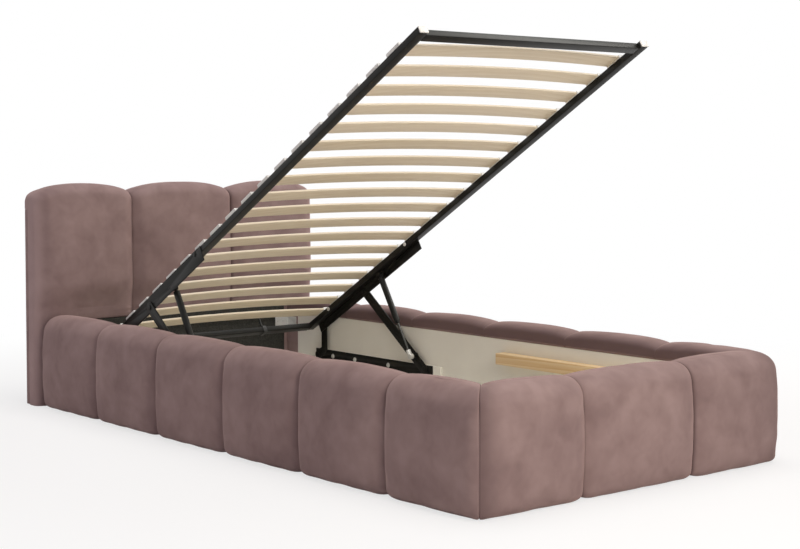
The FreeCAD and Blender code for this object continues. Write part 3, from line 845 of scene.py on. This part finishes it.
        line((self.board, bottom), (face - low, bottom), self.under_points, False)
        bend((face - low, bottom + low), low, -90, self.low_points)
        rows = max(self.least_face_points, round((self.height - high - low) / self.step))
        for k in range(rows):
            t = 2 * k / rows - 1
            points.append(PadPoint(face + self.face_crown * (1 - t * t), bottom + low + rise * (t + 1) / 2,
                                   False))
        bend((face - high, top - high), high, 0, self.high_points)
        line((face - high, top), (self.hook + run, top), self.top_points, False)
        for k in range(self.fall_points):
            share = k / (self.fall_points - 1)
            points.append(PadPoint(self.hook + run - (run - edge) * share, top - drop * share * share, False))
        line((self.hook, top - drop - edge), (self.hook, self.hook_bottom), self.hook_points, False)
        line((self.hook, self.hook_bottom), (self.board, self.hook_bottom), self.turn_points, True)
        line((self.board, self.hook_bottom), (self.board, bottom), self.board_points, True)
        reach = face - self.board
        return [PadPoint(p.out + self.swelling(along, p.up) * max(0.0, p.out - self.board) / reach, p.up,
                         p.stapled) for p in points]

    def mitre(self, index: int) -> float:
        """Gives where one line of the outline meets the corner's mitre.

        Args:
            index: The line's place in a section.

        Returns:
            The distance from the near end.
        """
        along = self.groove_run
        for _ in range(self.mitre_tries):
            along = (along + self.depth - self.section(along)[index].out) / 2
        return along

    def skin(self) -> BMesh:
        """Wraps a grid round the sections and closes the ends; marks what is held down and the painted light.

        Returns:
            A new bmesh, in the pad's own frame.
        """
        runs = self.stations()
        rows = len(self.section(0.0))
        last = len(runs) - 1
        starts = [self.mitre(k) if self.near.mitred else 0.0 for k in range(rows)]
        bm = bmesh.new()
        bmesh.ops.create_grid(bm, x_segments=last, y_segments=rows, size=0.5)
        stitched = bm.verts.layers.float.new(STITCHED)
        painted_shade = bm.verts.layers.float.new(PAINTED_LIGHT)
        crease = bm.edges.layers.float.new("crease_edge")
        for vert in bm.verts:
            i = round((vert.co.x + 0.5) * last)
            k = round((vert.co.y + 0.5) * rows) % rows
            along = starts[k] + runs[i] * (1 - starts[k] / self.length)
            cut = self.groove * max(0.0, 1 - runs[i] / self.groove_run) if self.near.mitred else 0.0
            point = self.section(along, cut)[k]
            vert.co = (along + cut, point.out, point.up)
            vert[stitched] = 1.0 if point.stapled or i in (0, last) or k == 0 else 0.0
            # Painted shade and painted highlight on the velvet, kept as a mark on each point
            vert[painted_shade] = self.painted_light(runs[i], point)
        bmesh.ops.remove_doubles(bm, verts=bm.verts, dist=self.same_point)
        rims = [e for e in bm.edges if e.is_boundary]
        for edge in rims:
            edge[crease] = 1.0
        caps = bmesh.ops.holes_fill(bm, edges=rims, sides=0)["faces"]
        bmesh.ops.triangulate(bm, faces=caps)
        bmesh.ops.recalc_face_normals(bm, faces=bm.faces)
        return bm


@dataclass(frozen=True)
class HeadboardPad(Pad):
    """A tall pad of the headboard, held flat behind the rails and free to fill out above them."""

    depth: float = 95.5 * MM
    height: float = 791 * MM
    board: float = 21 * MM
    hook: float = 0.0
    hook_bottom: float = 700 * MM
    face_round: float = 36 * MM
    hook_run: float = 10 * MM
    hook_drop: float = 4 * MM
    bottom_round: float = 2 * MM
    bulge: float = 16 * MM
    fuller: float = 7 * MM
    free_from: float = 345 * MM
    end_reach: float = 34 * MM
    hook_painted_shade: float = 0.0


@dataclass
class PadMaker:
    """Swells pads by cloth simulation, once for each different pad, and lays copies where they go."""

    pressure: float = 4.0
    frames: int = 20
    stretch: float = 0.02
    cap: float = 4 * MM
    seam_gap: float = 0.2 * MM
    ironing: int = 6
    ironing_share: float = 0.5
    # How far a pad settles in its middle and puckers at its seams, over what sizes, and what stays still
    settle: float = 1.2 * MM
    settle_run: float = 120 * MM
    pucker: float = 2 * MM
    pucker_run: float = 26 * MM
    pucker_reach: float = 34 * MM
    still: float = 4 * MM
    hem: float = 90 * MM
    swollen: dict[Pad, bpy.types.Mesh] = field(default_factory=dict)

    def swell(self, pad: Pad) -> bpy.types.Mesh:
        """Gives a pad's swollen mesh, simulated at its first use.

        Args:
            pad: The pad's sizes.

        Returns:
            The mesh, in the pad's own frame.
        """
        if pad not in self.swollen:
            mesh = bpy.data.meshes.new("pad_skin")
            bm = pad.skin()
            bm.to_mesh(mesh)
            bm.free()
            self.simulate(mesh, pad)
            self.swollen[pad] = mesh
        return self.swollen[pad]

    def simulate(self, mesh: bpy.types.Mesh, pad: Pad) -> None:
        """Blows the velvet up against its stitching, and caps how far it moves.

        Args:
            mesh: The pad's skin, which is changed.
            pad: The pad's sizes.
        """
        scene = bpy.context.scene
        obj = bpy.data.objects.new("pad_in_press", mesh)
        scene.collection.objects.link(obj)
        held = [i for i, item in enumerate(mesh.attributes[STITCHED].data) if item.value > HELD]
        group = obj.vertex_groups.new(name=STITCHED)
        group.add(held, 1.0, "REPLACE")
        cloth = obj.modifiers.new("Cloth", "CLOTH")
        cloth.settings.vertex_group_mass = STITCHED
        cloth.settings.use_pressure = True
        cloth.settings.uniform_pressure_force = self.pressure
        cloth.settings.shrink_min = -self.stretch
        cloth.settings.effector_weights.gravity = 0.0
        cloth.point_cache.frame_start = 1
        cloth.point_cache.frame_end = self.frames
        for number in range(1, self.frames + 1):
            scene.frame_set(number)
        depsgraph = bpy.context.evaluated_depsgraph_get()
        blown = obj.evaluated_get(depsgraph).data
        steps = [swollen.co - vert.co for vert, swollen in zip(mesh.vertices, blown.vertices)]
        reach = max(step.length for step in steps)
        for vert, step in zip(mesh.vertices, self.ironed(mesh, steps)):
            step *= self.cap / math.hypot(self.cap, step.length)
            place = vert.co + step
            low = self.seam_gap
            if pad.near.mitred:
                low += max(0.0, pad.depth - place.y)
            place.x = min(max(place.x, low), pad.length - self.seam_gap)
            place.z = max(place.z, pad.floor_gap)
            vert.co = place
        scene.frame_set(1)
        bpy.data.objects.remove(obj)
        LOG.info("pad of %.0f mm swelled by up to %.1f mm before the cap", pad.length / MM, reach / MM)

    def ironed(self, mesh: bpy.types.Mesh, steps: list[Vector]) -> list[Vector]:
        """Evens out how the velvet moved, so that no small ripples stay.

        Args:
            mesh: The pad's skin.
            steps: How far each of its points moved.

        Returns:
            The evened steps.
        """
        links: list[list[int]] = [[] for _ in steps]
        for edge in mesh.edges:
            first, second = edge.vertices
            links[first].append(second)
            links[second].append(first)
        for _ in range(self.ironing):
            means = [sum((steps[k] for k in near), Vector()) / len(near) for near in links]
            steps = [step.lerp(mean, self.ironing_share) if step.length else step
                     for step, mean in zip(steps, means)]
        return steps

    def laid(self, pad: Pad, place: Matrix) -> BMesh:
        """Lays a copy of a pad in its place, and lets it settle in a way of its own.

        Args:
            pad: The pad's sizes.
            place: Where the pad goes.

        Returns:
            A new bmesh in the bed's frame.
        """
        bm = bmesh.new()
        bm.from_mesh(self.swell(pad))
        stitched = bm.verts.layers.float[STITCHED]
        bm.normal_update()
        for vert in bm.verts:
            if vert[stitched] > HELD:
                continue
            at = place @ vert.co
            gap = min(vert.co.x, pad.length - vert.co.x)
            free = min(1.0, max(0.0, gap - self.still) / pad.near.face_run, vert.co.z / self.hem)
            near = free * max(0.0, 1 - gap / self.pucker_reach)
            rise = self.settle * free * noise.noise(at / self.settle_run)
            rise += self.pucker * near * noise.noise(at / self.pucker_run)
            vert.co += vert.normal * rise
            if vert.co.z < pad.free_from:
                vert.co.y = min(vert.co.y, pad.depth)
        return moved(bm, place)


@dataclass
class Upholstery(SubAssembly):
    """The velvet pads of rails and headboard, with the cloth that goes with them."""

    maker: PadMaker = field(default_factory=PadMaker)
    half_width: float = 607.5 * MM
    foot: float = -1197 * MM
    rail_pad_length: float = 383 * MM
    rail_pad_count: int = 6
    centre_width: float = 433 * MM
    back: float = 1197 * MM
    # Painted shade by the mitres at the foot's outer corners, and a painted highlight at the headboard's free
    # ends
    foot_reach: float = 95 * MM
    foot_painted_shade: float = 0.62
    headboard_painted_highlight: float = -0.55
    lining_half: float = 458.5 * MM
    lining_top: float = 298.5 * MM
    lining_edge: float = 1.2 * MM
    # The lining's edge, folded back over the batten behind it
    fold_half: float = 456.5 * MM
    fold_front: float = 1101.3 * MM
    fold_run: float = 32 * MM
    fold_bottom: float = 297.05 * MM
    fold_top: float = 298.2 * MM
    fold_edge: float = 0.4 * MM
    cover_half: float = 605.5 * MM
    cover_edge: float = 0.8 * MM
    fill: float = 0.85
    crisp: float = math.radians(70)

    def pad_piece(self, name: str, pad: Pad, place: Matrix, tucked: bool = False) -> None:
        """Makes one pad.

        Args:
            name: The CAD node that the pad stands for.
            pad: Its sizes.
            place: Where it goes.
            tucked: Whether its lower part ends above the head lining.
        """
        bm = self.maker.laid(pad, place)
        if tucked:
            level = pad.free_from
            share = (level - self.lining_top) / (level - pad.floor_gap)
            for vert in bm.verts:
                if abs(vert.co.x) < self.lining_half and vert.co.z < level:
                    vert.co.z = level - (level - vert.co.z) * share
        obj = self.piece(name + "_velvet", bm, VELVET, Body.CASE, [name], self.crisp)
        soft = obj.modifiers.new("Subdivision", "SUBSURF")
        soft.levels = 1
        soft.render_levels = 1

    def place(self, origin: Vector, along: Vector, out: Vector) -> Matrix:
        """Gives the place of a pad from its near end's hooked side, and the ways along it and out."""
        return Matrix.Translation(origin) @ Matrix((along, out, UP)).transposed().to_4x4()

    def build_row(self, name: str, outer: Pad, centre: Pad, level: float, tucked: bool = False) -> None:
        """Makes the three pads across the foot rail or the headboard.

        Args:
            name: What the CAD nodes' names start with.
            outer: The outer pads' sizes.
            centre: The centre pad's sizes.
            level: Where along the bed their hooked sides are.
            tucked: Whether their lower parts end above the head lining.
        """
        for side in Side:
            start = Vector((side.value * self.half_width, level, 0))
            self.pad_piece(f"{name}_pad_{side.label}", outer, self.place(start, -side.way, TO_FOOT), tucked)
        start = Vector((-self.centre_width / 2, level, 0))
        self.pad_piece(f"{name}_pad_centre", centre, self.place(start, Side.RIGHT.way, TO_FOOT), tucked)

    def build_pads(self) -> None:
        """Makes the pads of both side rails, of the foot rail and of the headboard."""
        straight = Pad(self.rail_pad_length, SEAM, SEAM)
        corner = Pad(self.rail_pad_length, MITRE, SEAM)
        for side in Side:
            for index in range(self.rail_pad_count):
                start = Vector((side.value * (self.half_width - straight.depth),
                                self.foot + index * self.rail_pad_length, 0))
                self.pad_piece(f"{side.label}_rail_pad_{index + 1}", straight if index else corner,
                               self.place(start, TO_HEAD, side.way))
        outer_width = self.half_width - self.centre_width / 2
        # The foot's outer pads get painted shade by the mitre at the corner
        outer = Pad(outer_width, MITRE, SEAM, end_reach=self.foot_reach, end_painted_light=self.foot_painted_shade)
        centre = Pad(self.centre_width, SEAM, SEAM)
        self.build_row("foot_rail", outer, centre, self.foot + outer.depth)
        # The headboard's outer pads get a painted highlight at their free ends
        outer = HeadboardPad(outer_width, FREE_END, HEADBOARD_SEAM, tuck=self.half_width - self.lining_half,
                             end_painted_light=self.headboard_painted_highlight)
        centre = HeadboardPad(self.centre_width, HEADBOARD_SEAM, HEADBOARD_SEAM)
        self.build_row("headboard", outer, centre, self.back, tucked=True)

    def build_covers(self) -> None:
        """Makes the cloth on the headboard's back, on the rails' head ends and on the head panel."""
        self.eased_nodes(VELVET, Body.CASE, self.cover_edge, ["rail_end_wraps"])
        cover = cad_copy("headboard_back_cover")
        flush = (self.half_width - self.maker.seam_gap) / self.cover_half
        bmesh.ops.scale(cover, vec=(flush, 1, 1), verts=cover.verts)
        self.piece("headboard_back_cover_dressed", eased(cover, self.cover_edge), VELVET, Body.CASE,
                   ["headboard_back_cover"])
        fold = bar(Vector((-self.fold_half, self.fold_front, self.fold_bottom)),
                   Vector((self.fold_half, self.fold_front + self.fold_run, self.fold_top)), self.fold_edge)
        lining = joined([eased(cad_copy("head_lining"), self.lining_edge), fold])
        self.piece("head_lining_dressed", lining, LINING, Body.CASE, ["head_lining"])

    def build(self) -> None:
        """Makes all the upholstery."""
        self.build_pads()
        self.build_covers()


# Case


@dataclass
class Case(SubAssembly):
    """The boards, liners, floor and fittings inside the upholstery."""

    batten_edge: float = 2 * MM
    board_edge: float = 1 * MM
    plate_edge: float = 0.5 * MM

    def build(self) -> None:
        """Finishes the case's boards and fittings."""
        self.finished_nodes(CHIPBOARD, [*sided("rail_board"), "foot_rail_board", "headboard_board"])
        self.finished_nodes(LAMINATE, [*sided("liner"), "foot_liner", "floor_panels"])
        self.finished_nodes(PINE, ["floor_battens", "headboard_battens"])
        self.eased_nodes(PINE, Body.CASE, self.batten_edge, ["support_battens"])
        self.eased_nodes(LAMINATE, Body.CASE, self.board_edge, ["mechanism_spacers"])
        self.eased_nodes(BLACK_NYLON, Body.CASE, self.board_edge, ["glides"])
        self.eased_nodes(GALVANISED, Body.CASE, self.plate_edge, ["corner_brackets"])
        self.eased_nodes(ZINC, Body.CASE, self.plate_edge, ["bracket_screws"])


# Slatted frame


@dataclass
class SlattedFrame(SubAssembly):
    """Steel tube frame with sprung slats.

    It is made flat, with its length from the foot end along Y and its tubes' tops at Z 0, and then raised.
    """

    origin: Vector = field(default_factory=lambda: Vector((0, -789.607 * MM, 1241.12 * MM)))
    tilt: float = math.radians(30.63)
    half_width: float = 453.5 * MM
    length: float = 1980 * MM
    tube_width: float = 30 * MM
    tube_depth: float = 20 * MM
    tube_round: float = 2.5 * MM
    cap_thickness: float = 4 * MM
    cap_edge: float = 0.8 * MM
    clamp_edge: float = 0.6 * MM
    foot_tube_inset: float = 14 * MM
    slat_count: int = 18
    slat_pitch: float = 102.6 * MM
    first_slat: float = 124.9 * MM
    slat_half: float = 448.7 * MM
    slat_width: float = 53 * MM
    slat_thickness: float = 8 * MM
    slat_bottom: float = 1.3 * MM
    slat_crown: float = 12 * MM
    slat_round: float = 2.2 * MM
    slat_runs: int = 24
    # How pale a slat may be, and the line through a noise that gives each slat its tint
    palest: float = 0.6
    tint_start: Place = (0.0, 0.3, 0.6)
    tint_step: float = 1.7
    round_faces: int = 3
    socket_inner: float = 425 * MM
    socket_outer: float = 451.6 * MM
    socket_length: float = 61 * MM
    socket_height: float = 12.4 * MM
    socket_round: float = 4.5 * MM
    rib_count: int = 9
    rib_width: float = 3 * MM
    rib_depth: float = 0.4 * MM
    rib_root: float = 1 * MM

    def raised(self, bm: BMesh) -> BMesh:
        """Tilts a piece of the flat frame to the raised frame's place."""
        return moved(bm, Matrix.Translation(self.origin) @ Matrix.Rotation(-self.tilt, 4, "X"))

    def tube(self, low: tuple[float, float], high: tuple[float, float]) -> BMesh:
        """Makes a tube with rounded corners from its lowest and highest X and length."""
        return self.raised(bar(Vector((*low, -self.tube_depth)), Vector((*high, 0)), self.tube_round))

    def build_tubes(self) -> None:
        """Makes the four tubes and their end caps."""
        inner = self.half_width - self.tube_width
        end, inset = self.length, self.foot_tube_inset
        for side in Side:
            low, high = sorted((side.value * inner, side.value * self.half_width))
            self.piece(f"{side.label}_side_tube_steel",
                       self.tube((low, self.cap_thickness), (high, end - self.cap_thickness)),
                       POWDER, Body.PLATFORM, [f"{side.label}_side_tube"])
        self.piece("foot_tube_steel", self.tube((-inner, inset), (inner, inset + self.tube_width)), POWDER,
                   Body.PLATFORM, ["foot_tube"])
        self.piece("head_tube_steel", self.tube((-inner, end - self.tube_width), (inner, end)), POWDER,
                   Body.PLATFORM, ["head_tube"])
        self.eased_nodes(NYLON, Body.PLATFORM, self.cap_edge, ["tube_caps"])

    def long_edges(self, bm: BMesh) -> list[bmesh.types.BMEdge]:
        """Lists the edges that run along a straight slat."""
        return [e for e in bm.edges if abs((e.verts[0].co - e.verts[1].co).x) > self.slat_half]

    def slat(self, middle: float, tint: float) -> BMesh:
        """Makes one bowed slat.

        Args:
            middle: Its place along the frame.
            tint: How pale it is among the slats.

        Returns:
            A new bmesh, on the flat frame.
        """
        half = Vector((self.slat_half, self.slat_width / 2, self.slat_thickness / 2))
        bm = bar(-half, half)
        bevelled(bm, self.long_edges(bm), self.slat_round, self.round_faces)
        bmesh.ops.subdivide_edges(bm, edges=self.long_edges(bm), cuts=self.slat_runs, use_grid_fill=True)
        own = bm.verts.layers.float.new(SLAT_TINT)
        for vert in bm.verts:
            bow = 1 - (vert.co.x / self.slat_half) ** 2
            vert.co.z += self.slat_bottom + half.z + self.slat_crown * bow
            vert.co.y += middle
            vert[own] = tint
        return bm

    def socket(self, middle: float, side: Side) -> BMesh:
        """Makes one slat's socket, its outer top rounded and its outer face ribbed.

        Args:
            middle: Its place along the frame.
            side: The tube that it stands on.

        Returns:
            A new bmesh, on the flat frame.
        """
        half = self.socket_length / 2
        body = bar(Vector((self.socket_inner, -half, 0)),
                   Vector((self.socket_outer, half, self.socket_height)))
        crest = [e for e in body.edges if all(v.co.x > self.socket_inner and v.co.z > 0 for v in e.verts)]
        parts = [bevelled(body, crest, self.socket_round, self.round_faces)]
        pitch = self.socket_length / self.rib_count
        for k in range(self.rib_count):
            start = pitch * (k + 0.5) - half - self.rib_width / 2
            parts.append(bar(Vector((self.socket_outer - self.rib_root, start, self.rib_root)),
                             Vector((self.socket_outer + self.rib_depth, start + self.rib_width,
                                     self.socket_height - self.socket_round))))
        return moved(joined(parts), side.mirror() @ Matrix.Translation((0, middle, 0)))

    def middles(self) -> list[float]:
        """Lists the slats' places along the frame."""
        return [self.first_slat + index * self.slat_pitch for index in range(self.slat_count)]

    def build_sockets(self) -> None:
        """Makes the sockets along both side tubes."""
        sockets = [self.socket(middle, side) for middle in self.middles() for side in Side]
        self.piece("slat_end_sockets", self.raised(joined(sockets)), NYLON, Body.PLATFORM, ["slat_sockets"])

    def build_slats(self) -> None:
        """Makes the sprung slats, each a little paler or darker than the next."""
        slats = []
        for index, middle in enumerate(self.middles()):
            tint = abs(noise.noise(Vector(self.tint_start) + Vector((index * self.tint_step, 0, 0))))
            slats.append(self.slat(middle, min(self.palest, tint)))
        self.piece("sprung_slats", self.raised(joined(slats)), BIRCH, Body.PLATFORM, ["slats"])

    def build(self) -> None:
        """Makes the slatted frame."""
        self.build_tubes()
        self.build_sockets()
        self.build_slats()
        self.eased_nodes(BLACK_NYLON, Body.PLATFORM, self.clamp_edge, ["stop_clamps"])
        self.finished_nodes(POWDER, ["mattress_stop"])


# Lift mechanism


@dataclass
class LiftMechanism(SubAssembly):
    """Base plates, arms, links, lift plates and gas springs on both sides."""

    plate_edge: float = 0.7 * MM
    rod_edge: float = 0.4 * MM
    # A base plate's bolt: a hexagon head that stands proud of the plate, on a washer, with its shank behind
    head_sides: int = 6
    head_radius: float = 7 * MM
    head_height: float = 4.2 * MM
    head_edge: float = 0.8 * MM
    head_proud: float = 0.4 * MM
    washer_radius: float = 9 * MM
    washer_height: float = 1.4 * MM
    washer_edge: float = 0.3 * MM
    washer_bite: float = 0.7 * MM
    shank_sides: int = 16
    shank_radius: float = 4 * MM
    shank_start: float = 2 * MM
    shank_edge: float = 0.5 * MM
    # The black cover on a lift plate's bolt
    cover_radius: float = 7.5 * MM
    cover_length: float = 2.2 * MM
    cover_bite: float = 1.8 * MM
    cover_edge: float = 0.8 * MM
    # The right gas spring's line, and the sleeve and eye on its rod's end
    rod_end: Vector = field(default_factory=lambda: Vector((434 * MM, 294.81 * MM, 175.21 * MM)))
    spring_top: Vector = field(default_factory=lambda: Vector((434 * MM, 467.43 * MM, 457.31 * MM)))
    fitting_radius: float = 8.6 * MM
    fitting_start: float = 6 * MM
    fitting_length: float = 19 * MM
    fitting_edge: float = 1.0 * MM
    eye_radius: float = 10.2 * MM
    eye_start: float = -5.3 * MM
    eye_length: float = 14 * MM
    eye_edge: float = 0.8 * MM

    def bolt(self, box: Box) -> BMesh:
        """Makes a hexagon bolt with its washer, on the inner face of its plate, and the shank behind it.

        Args:
            box: The box of the bolt's CAD solid.

        Returns:
            A new bmesh.
        """
        middle = (box[0] + box[1]) / 2
        inner, outer = sorted((abs(box[0].x), abs(box[1].x)))
        head = round_bar(self.head_radius, self.head_height, self.head_edge, self.head_sides)
        washer = round_bar(self.washer_radius, self.washer_height, self.washer_edge)
        moved(washer, Matrix.Translation((self.head_height - self.washer_bite, 0, 0)))
        shank = round_bar(self.shank_radius, outer - inner - self.shank_start, self.shank_edge,
                          self.shank_sides)
        moved(shank, Matrix.Translation((self.shank_start, 0, 0)))
        seat = Matrix.Translation((inner - self.head_proud, middle.y, middle.z))
        return moved(joined([head, washer, shank]), Side.at(middle).mirror() @ seat)

    def cover(self, box: Box) -> BMesh:
        """Makes the cover on the outer end of a lift plate's bolt.

        Args:
            box: The box of the bolt's CAD solid.

        Returns:
            A new bmesh.
        """
        middle = (box[0] + box[1]) / 2
        start = max(abs(box[0].x), abs(box[1].x)) - self.cover_bite
        seat = Matrix.Translation((start, middle.y, middle.z))
        return moved(round_bar(self.cover_radius, self.cover_length, self.cover_edge),
                     Side.at(middle).mirror() @ seat)

    def build_fixed(self) -> None:
        """Makes the base plates with their bolts and pivot pins."""
        self.eased_nodes(POWDER, Body.CASE, self.plate_edge, [*sided("base_plate"), "base_pivot_pins"])
        bolts = joined([self.bolt(box) for box in islands("base_plate_bolts")])
        self.piece("base_plate_hexagon_bolts", bolts, ZINC, Body.CASE, ["base_plate_bolts"])

    def build_moving(self) -> None:
        """Makes the arms, links and lift plates with their pins, bolts and covers."""
        self.eased_nodes(POWDER, Body.ARMS, self.plate_edge, [*sided("front_arm"), "arm_studs"])
        self.eased_nodes(POWDER, Body.LINKS, self.plate_edge, sided("rear_link"))
        self.eased_nodes(POWDER, Body.PLATFORM, self.plate_edge, [*sided("lift_plate"), "lift_plate_pins"])
        self.eased_nodes(ZINC, Body.PLATFORM, self.plate_edge, ["lift_plate_bolts"])
        covers = joined([self.cover(box) for box in islands("lift_plate_bolts")])
        self.piece("lift_plate_bolt_covers", covers, POWDER, Body.PLATFORM)

    def build_springs(self) -> None:
        """Makes the gas springs, with a plated fitting on each rod's end."""
        self.eased_nodes(POWDER, Body.CYLINDERS, self.plate_edge, ["gas_cylinders"])
        self.eased_nodes(NITRIDED, Body.RODS, self.rod_edge, ["gas_rods"])
        way = (self.spring_top - self.rod_end).normalized()
        turn = way.to_track_quat("X", "Z").to_matrix().to_4x4()
        fittings = []
        for side in Side:
            sleeve = round_bar(self.fitting_radius, self.fitting_length, self.fitting_edge)
            start = self.rod_end + way * self.fitting_start
            start.x *= side.value
            fittings.append(moved(sleeve, Matrix.Translation(start) @ turn))
            eye = round_bar(self.eye_radius, self.eye_length, self.eye_edge)
            place = Matrix.Translation(self.rod_end + Vector((self.eye_start, 0, 0)))
            fittings.append(moved(eye, side.mirror() @ place))
        self.piece("gas_rod_fittings", joined(fittings), ZINC, Body.RODS)

    def build(self) -> None:
        """Makes the lift mechanism."""
        self.build_fixed()
        self.build_moving()
        self.build_springs()


# Studio


@dataclass(frozen=True)
class Softbox:
    """A square softbox: where it hangs, what it faces, its side in metres, its power in watts, its colour."""

    name: str
    place: Place
    target: Place
    side: float
    watts: float
    colour: str
    gloss_alone: bool = False

    def hang(self) -> None:
        """Hangs the softbox in the scene, out of the camera's sight."""
        light = bpy.data.lights.new(self.name, "AREA")
        light.shape = "SQUARE"
        light.size = self.side
        light.energy = self.watts
        light.color = linear(self.colour)[:3]
        lamp = bpy.data.objects.new(self.name, light)
        lamp.location = self.place
        lamp.visible_camera = False
        lamp.visible_diffuse = not self.gloss_alone
        way = Vector(self.target) - Vector(self.place)
        lamp.rotation_euler = way.to_track_quat("-Z", "Y").to_euler()
        bpy.context.scene.collection.objects.link(lamp)


@dataclass
class Studio:
    """A plain pale floor, soft light and the camera."""

    eye: Place = (-3.1864, -3.9997, 0.9084)
    yaw: float = 0.8739
    pitch: float = math.radians(-2.735)
    lens: float = 71.1
    sensor: float = 36.0
    shift: tuple[float, float] = (-0.0061, -0.06)
    floor_half: float = 30.0
    paper: str = "#F4F3F1"
    white: str = "#FFFFFF"
    ambient: float = 0.222
    ambient_tint: str = "#F7E9FA"
    shadow: float = 0.3
    # How far from the bed's middle the shadow shows, and the share of that where it is whole
    shadow_reach: float = 3.2
    shadow_core: float = 1 / 3
    key_tint: str = "#FFF6E8"
    bed_middle: Place = (0.0, -0.2, 0.3)

    def seen(self, tree: NodeTree) -> Socket:
        """Gives 1 for rays that show the background, straight, mirrored or through glass, and else 0.

        Args:
            tree: The node tree of the floor or the surround.

        Returns:
            The output with that value.
        """
        path = add(tree, "ShaderNodeLightPath").outputs
        straight = add(tree, "ShaderNodeMath", {0: path["Is Camera Ray"], 1: path["Is Glossy Ray"]},
                       operation="ADD")
        whole = add(tree, "ShaderNodeMath", {0: straight.outputs[0], 1: path["Is Transmission Ray"]},
                    operation="ADD", use_clamp=True)
        return whole.outputs[0]

    def build_floor(self) -> None:
        """Lays a pale paper floor that keeps a faint shadow."""
        bm = bmesh.new()
        bmesh.ops.create_grid(bm, x_segments=1, y_segments=1, size=self.floor_half)
        mesh = bpy.data.meshes.new("paper_floor")
        bm.to_mesh(mesh)
        bm.free()
        floor = bpy.data.objects.new("paper_floor", mesh)
        bpy.context.scene.collection.objects.link(floor)
        paper = bpy.data.materials.new("seamless paper")
        paper.use_nodes = True
        tree = paper.node_tree
        tree.nodes.clear()
        matt = add(tree, "ShaderNodeBsdfDiffuse", {"Color": linear(self.paper)})
        glow = add(tree, "ShaderNodeEmission", {"Color": linear(self.white), "Strength": 1.0})
        coords = add(tree, "ShaderNodeTexCoord").outputs["Object"]
        reach = add(tree, "ShaderNodeVectorMath", {0: coords}, operation="LENGTH")
        near = add(tree, "ShaderNodeMapRange", {"Value": reach.outputs["Value"],
                                                "From Min": self.shadow_reach * self.shadow_core,
                                                "From Max": self.shadow_reach,
                                                "To Min": 1 - self.shadow, "To Max": 1.0},
                   interpolation_type="SMOOTHSTEP")
        share = add(tree, "ShaderNodeMath", {0: self.seen(tree), 1: near.outputs[0]}, operation="MULTIPLY")
        mix = add(tree, "ShaderNodeMixShader", {0: share.outputs[0], 1: matt.outputs[0], 2: glow.outputs[0]})
        add(tree, "ShaderNodeOutputMaterial", {"Surface": mix.outputs[0]})
        mesh.materials.append(paper)

    def build_world(self) -> None:
        """Makes a white surround that lights the bed softly."""
        world = bpy.data.worlds.new("white_surround")
        bpy.context.scene.world = world
        world.use_nodes = True
        tree = world.node_tree
        tree.nodes.clear()
        soft = add(tree, "ShaderNodeBackground", {"Color": linear(self.ambient_tint),
                                                  "Strength": self.ambient})
        white = add(tree, "ShaderNodeBackground", {"Color": linear(self.white), "Strength": 1.0})
        mix = add(tree, "ShaderNodeMixShader", {0: self.seen(tree), 1: soft.outputs[0], 2: white.outputs[0]})
        add(tree, "ShaderNodeOutputWorld", {"Surface": mix.outputs[0]})

    def build_lamps(self) -> None:
        """Hangs the key lights, a fill at the headboard's end, one overhead and one that glints on steel."""
        softboxes = (
            Softbox("foot_key", place=(-0.62, -3.0, 1.7), target=self.bed_middle, side=1.4, watts=35.0,
                    colour=self.key_tint),
            Softbox("right_key", place=(2.6, -4.3, 2.0), target=self.bed_middle, side=1.6, watts=8.0,
                    colour=self.key_tint),
            Softbox("headboard_key", place=(3.0, -0.2, 1.5), target=(0.0, 1.1, 0.5), side=1.2, watts=22.0,
                    colour=self.key_tint),
            Softbox("left_fill", place=(-2.4, 2.2, 1.4), target=(-0.6, 1.1, 0.6), side=1.0, watts=5.0,
                    colour="#FFF9F4"),
            Softbox("overhead", place=(0.3, -0.1, 4.6), target=self.bed_middle, side=3.4, watts=128.0,
                    colour="#FFFCF8"),
            Softbox("steel_glint", place=(2.9, -2.65, 4.1), target=(0.0, -0.8, 1.2), side=2.5, watts=190.0,
                    colour="#FFFDF6", gloss_alone=True))
        for softbox in softboxes:
            softbox.hang()

    def build_camera(self) -> None:
        """Sets the camera at the viewing angle."""
        data = bpy.data.cameras.new("camera")
        data.lens = self.lens
        data.sensor_width = self.sensor
        data.shift_x, data.shift_y = self.shift
        camera = bpy.data.objects.new("camera", data)
        camera.location = self.eye
        level = math.cos(self.pitch)
        way = Vector((level * math.cos(self.yaw), level * math.sin(self.yaw), math.sin(self.pitch)))
        camera.rotation_euler = way.to_track_quat("-Z", "Y").to_euler()
        bpy.context.scene.collection.objects.link(camera)
        bpy.context.scene.camera = camera

    def build(self) -> None:
        """Sets the whole studio."""
        bpy.context.scene.view_settings.view_transform = "Standard"
        self.build_camera()
        self.build_floor()
        self.build_world()
        self.build_lamps()


def main() -> None:
    """Builds the bed's looks and its studio."""
    logging.basicConfig(level=logging.INFO, format="%(name)s: %(message)s")
    Studio().build()
    for assembly in (Case(), SlattedFrame(), LiftMechanism(), Upholstery()):
        assembly.build()
        LOG.info("%s: %d new pieces", type(assembly).__name__, len(assembly.made))


if __name__ == "__main__":
    main()
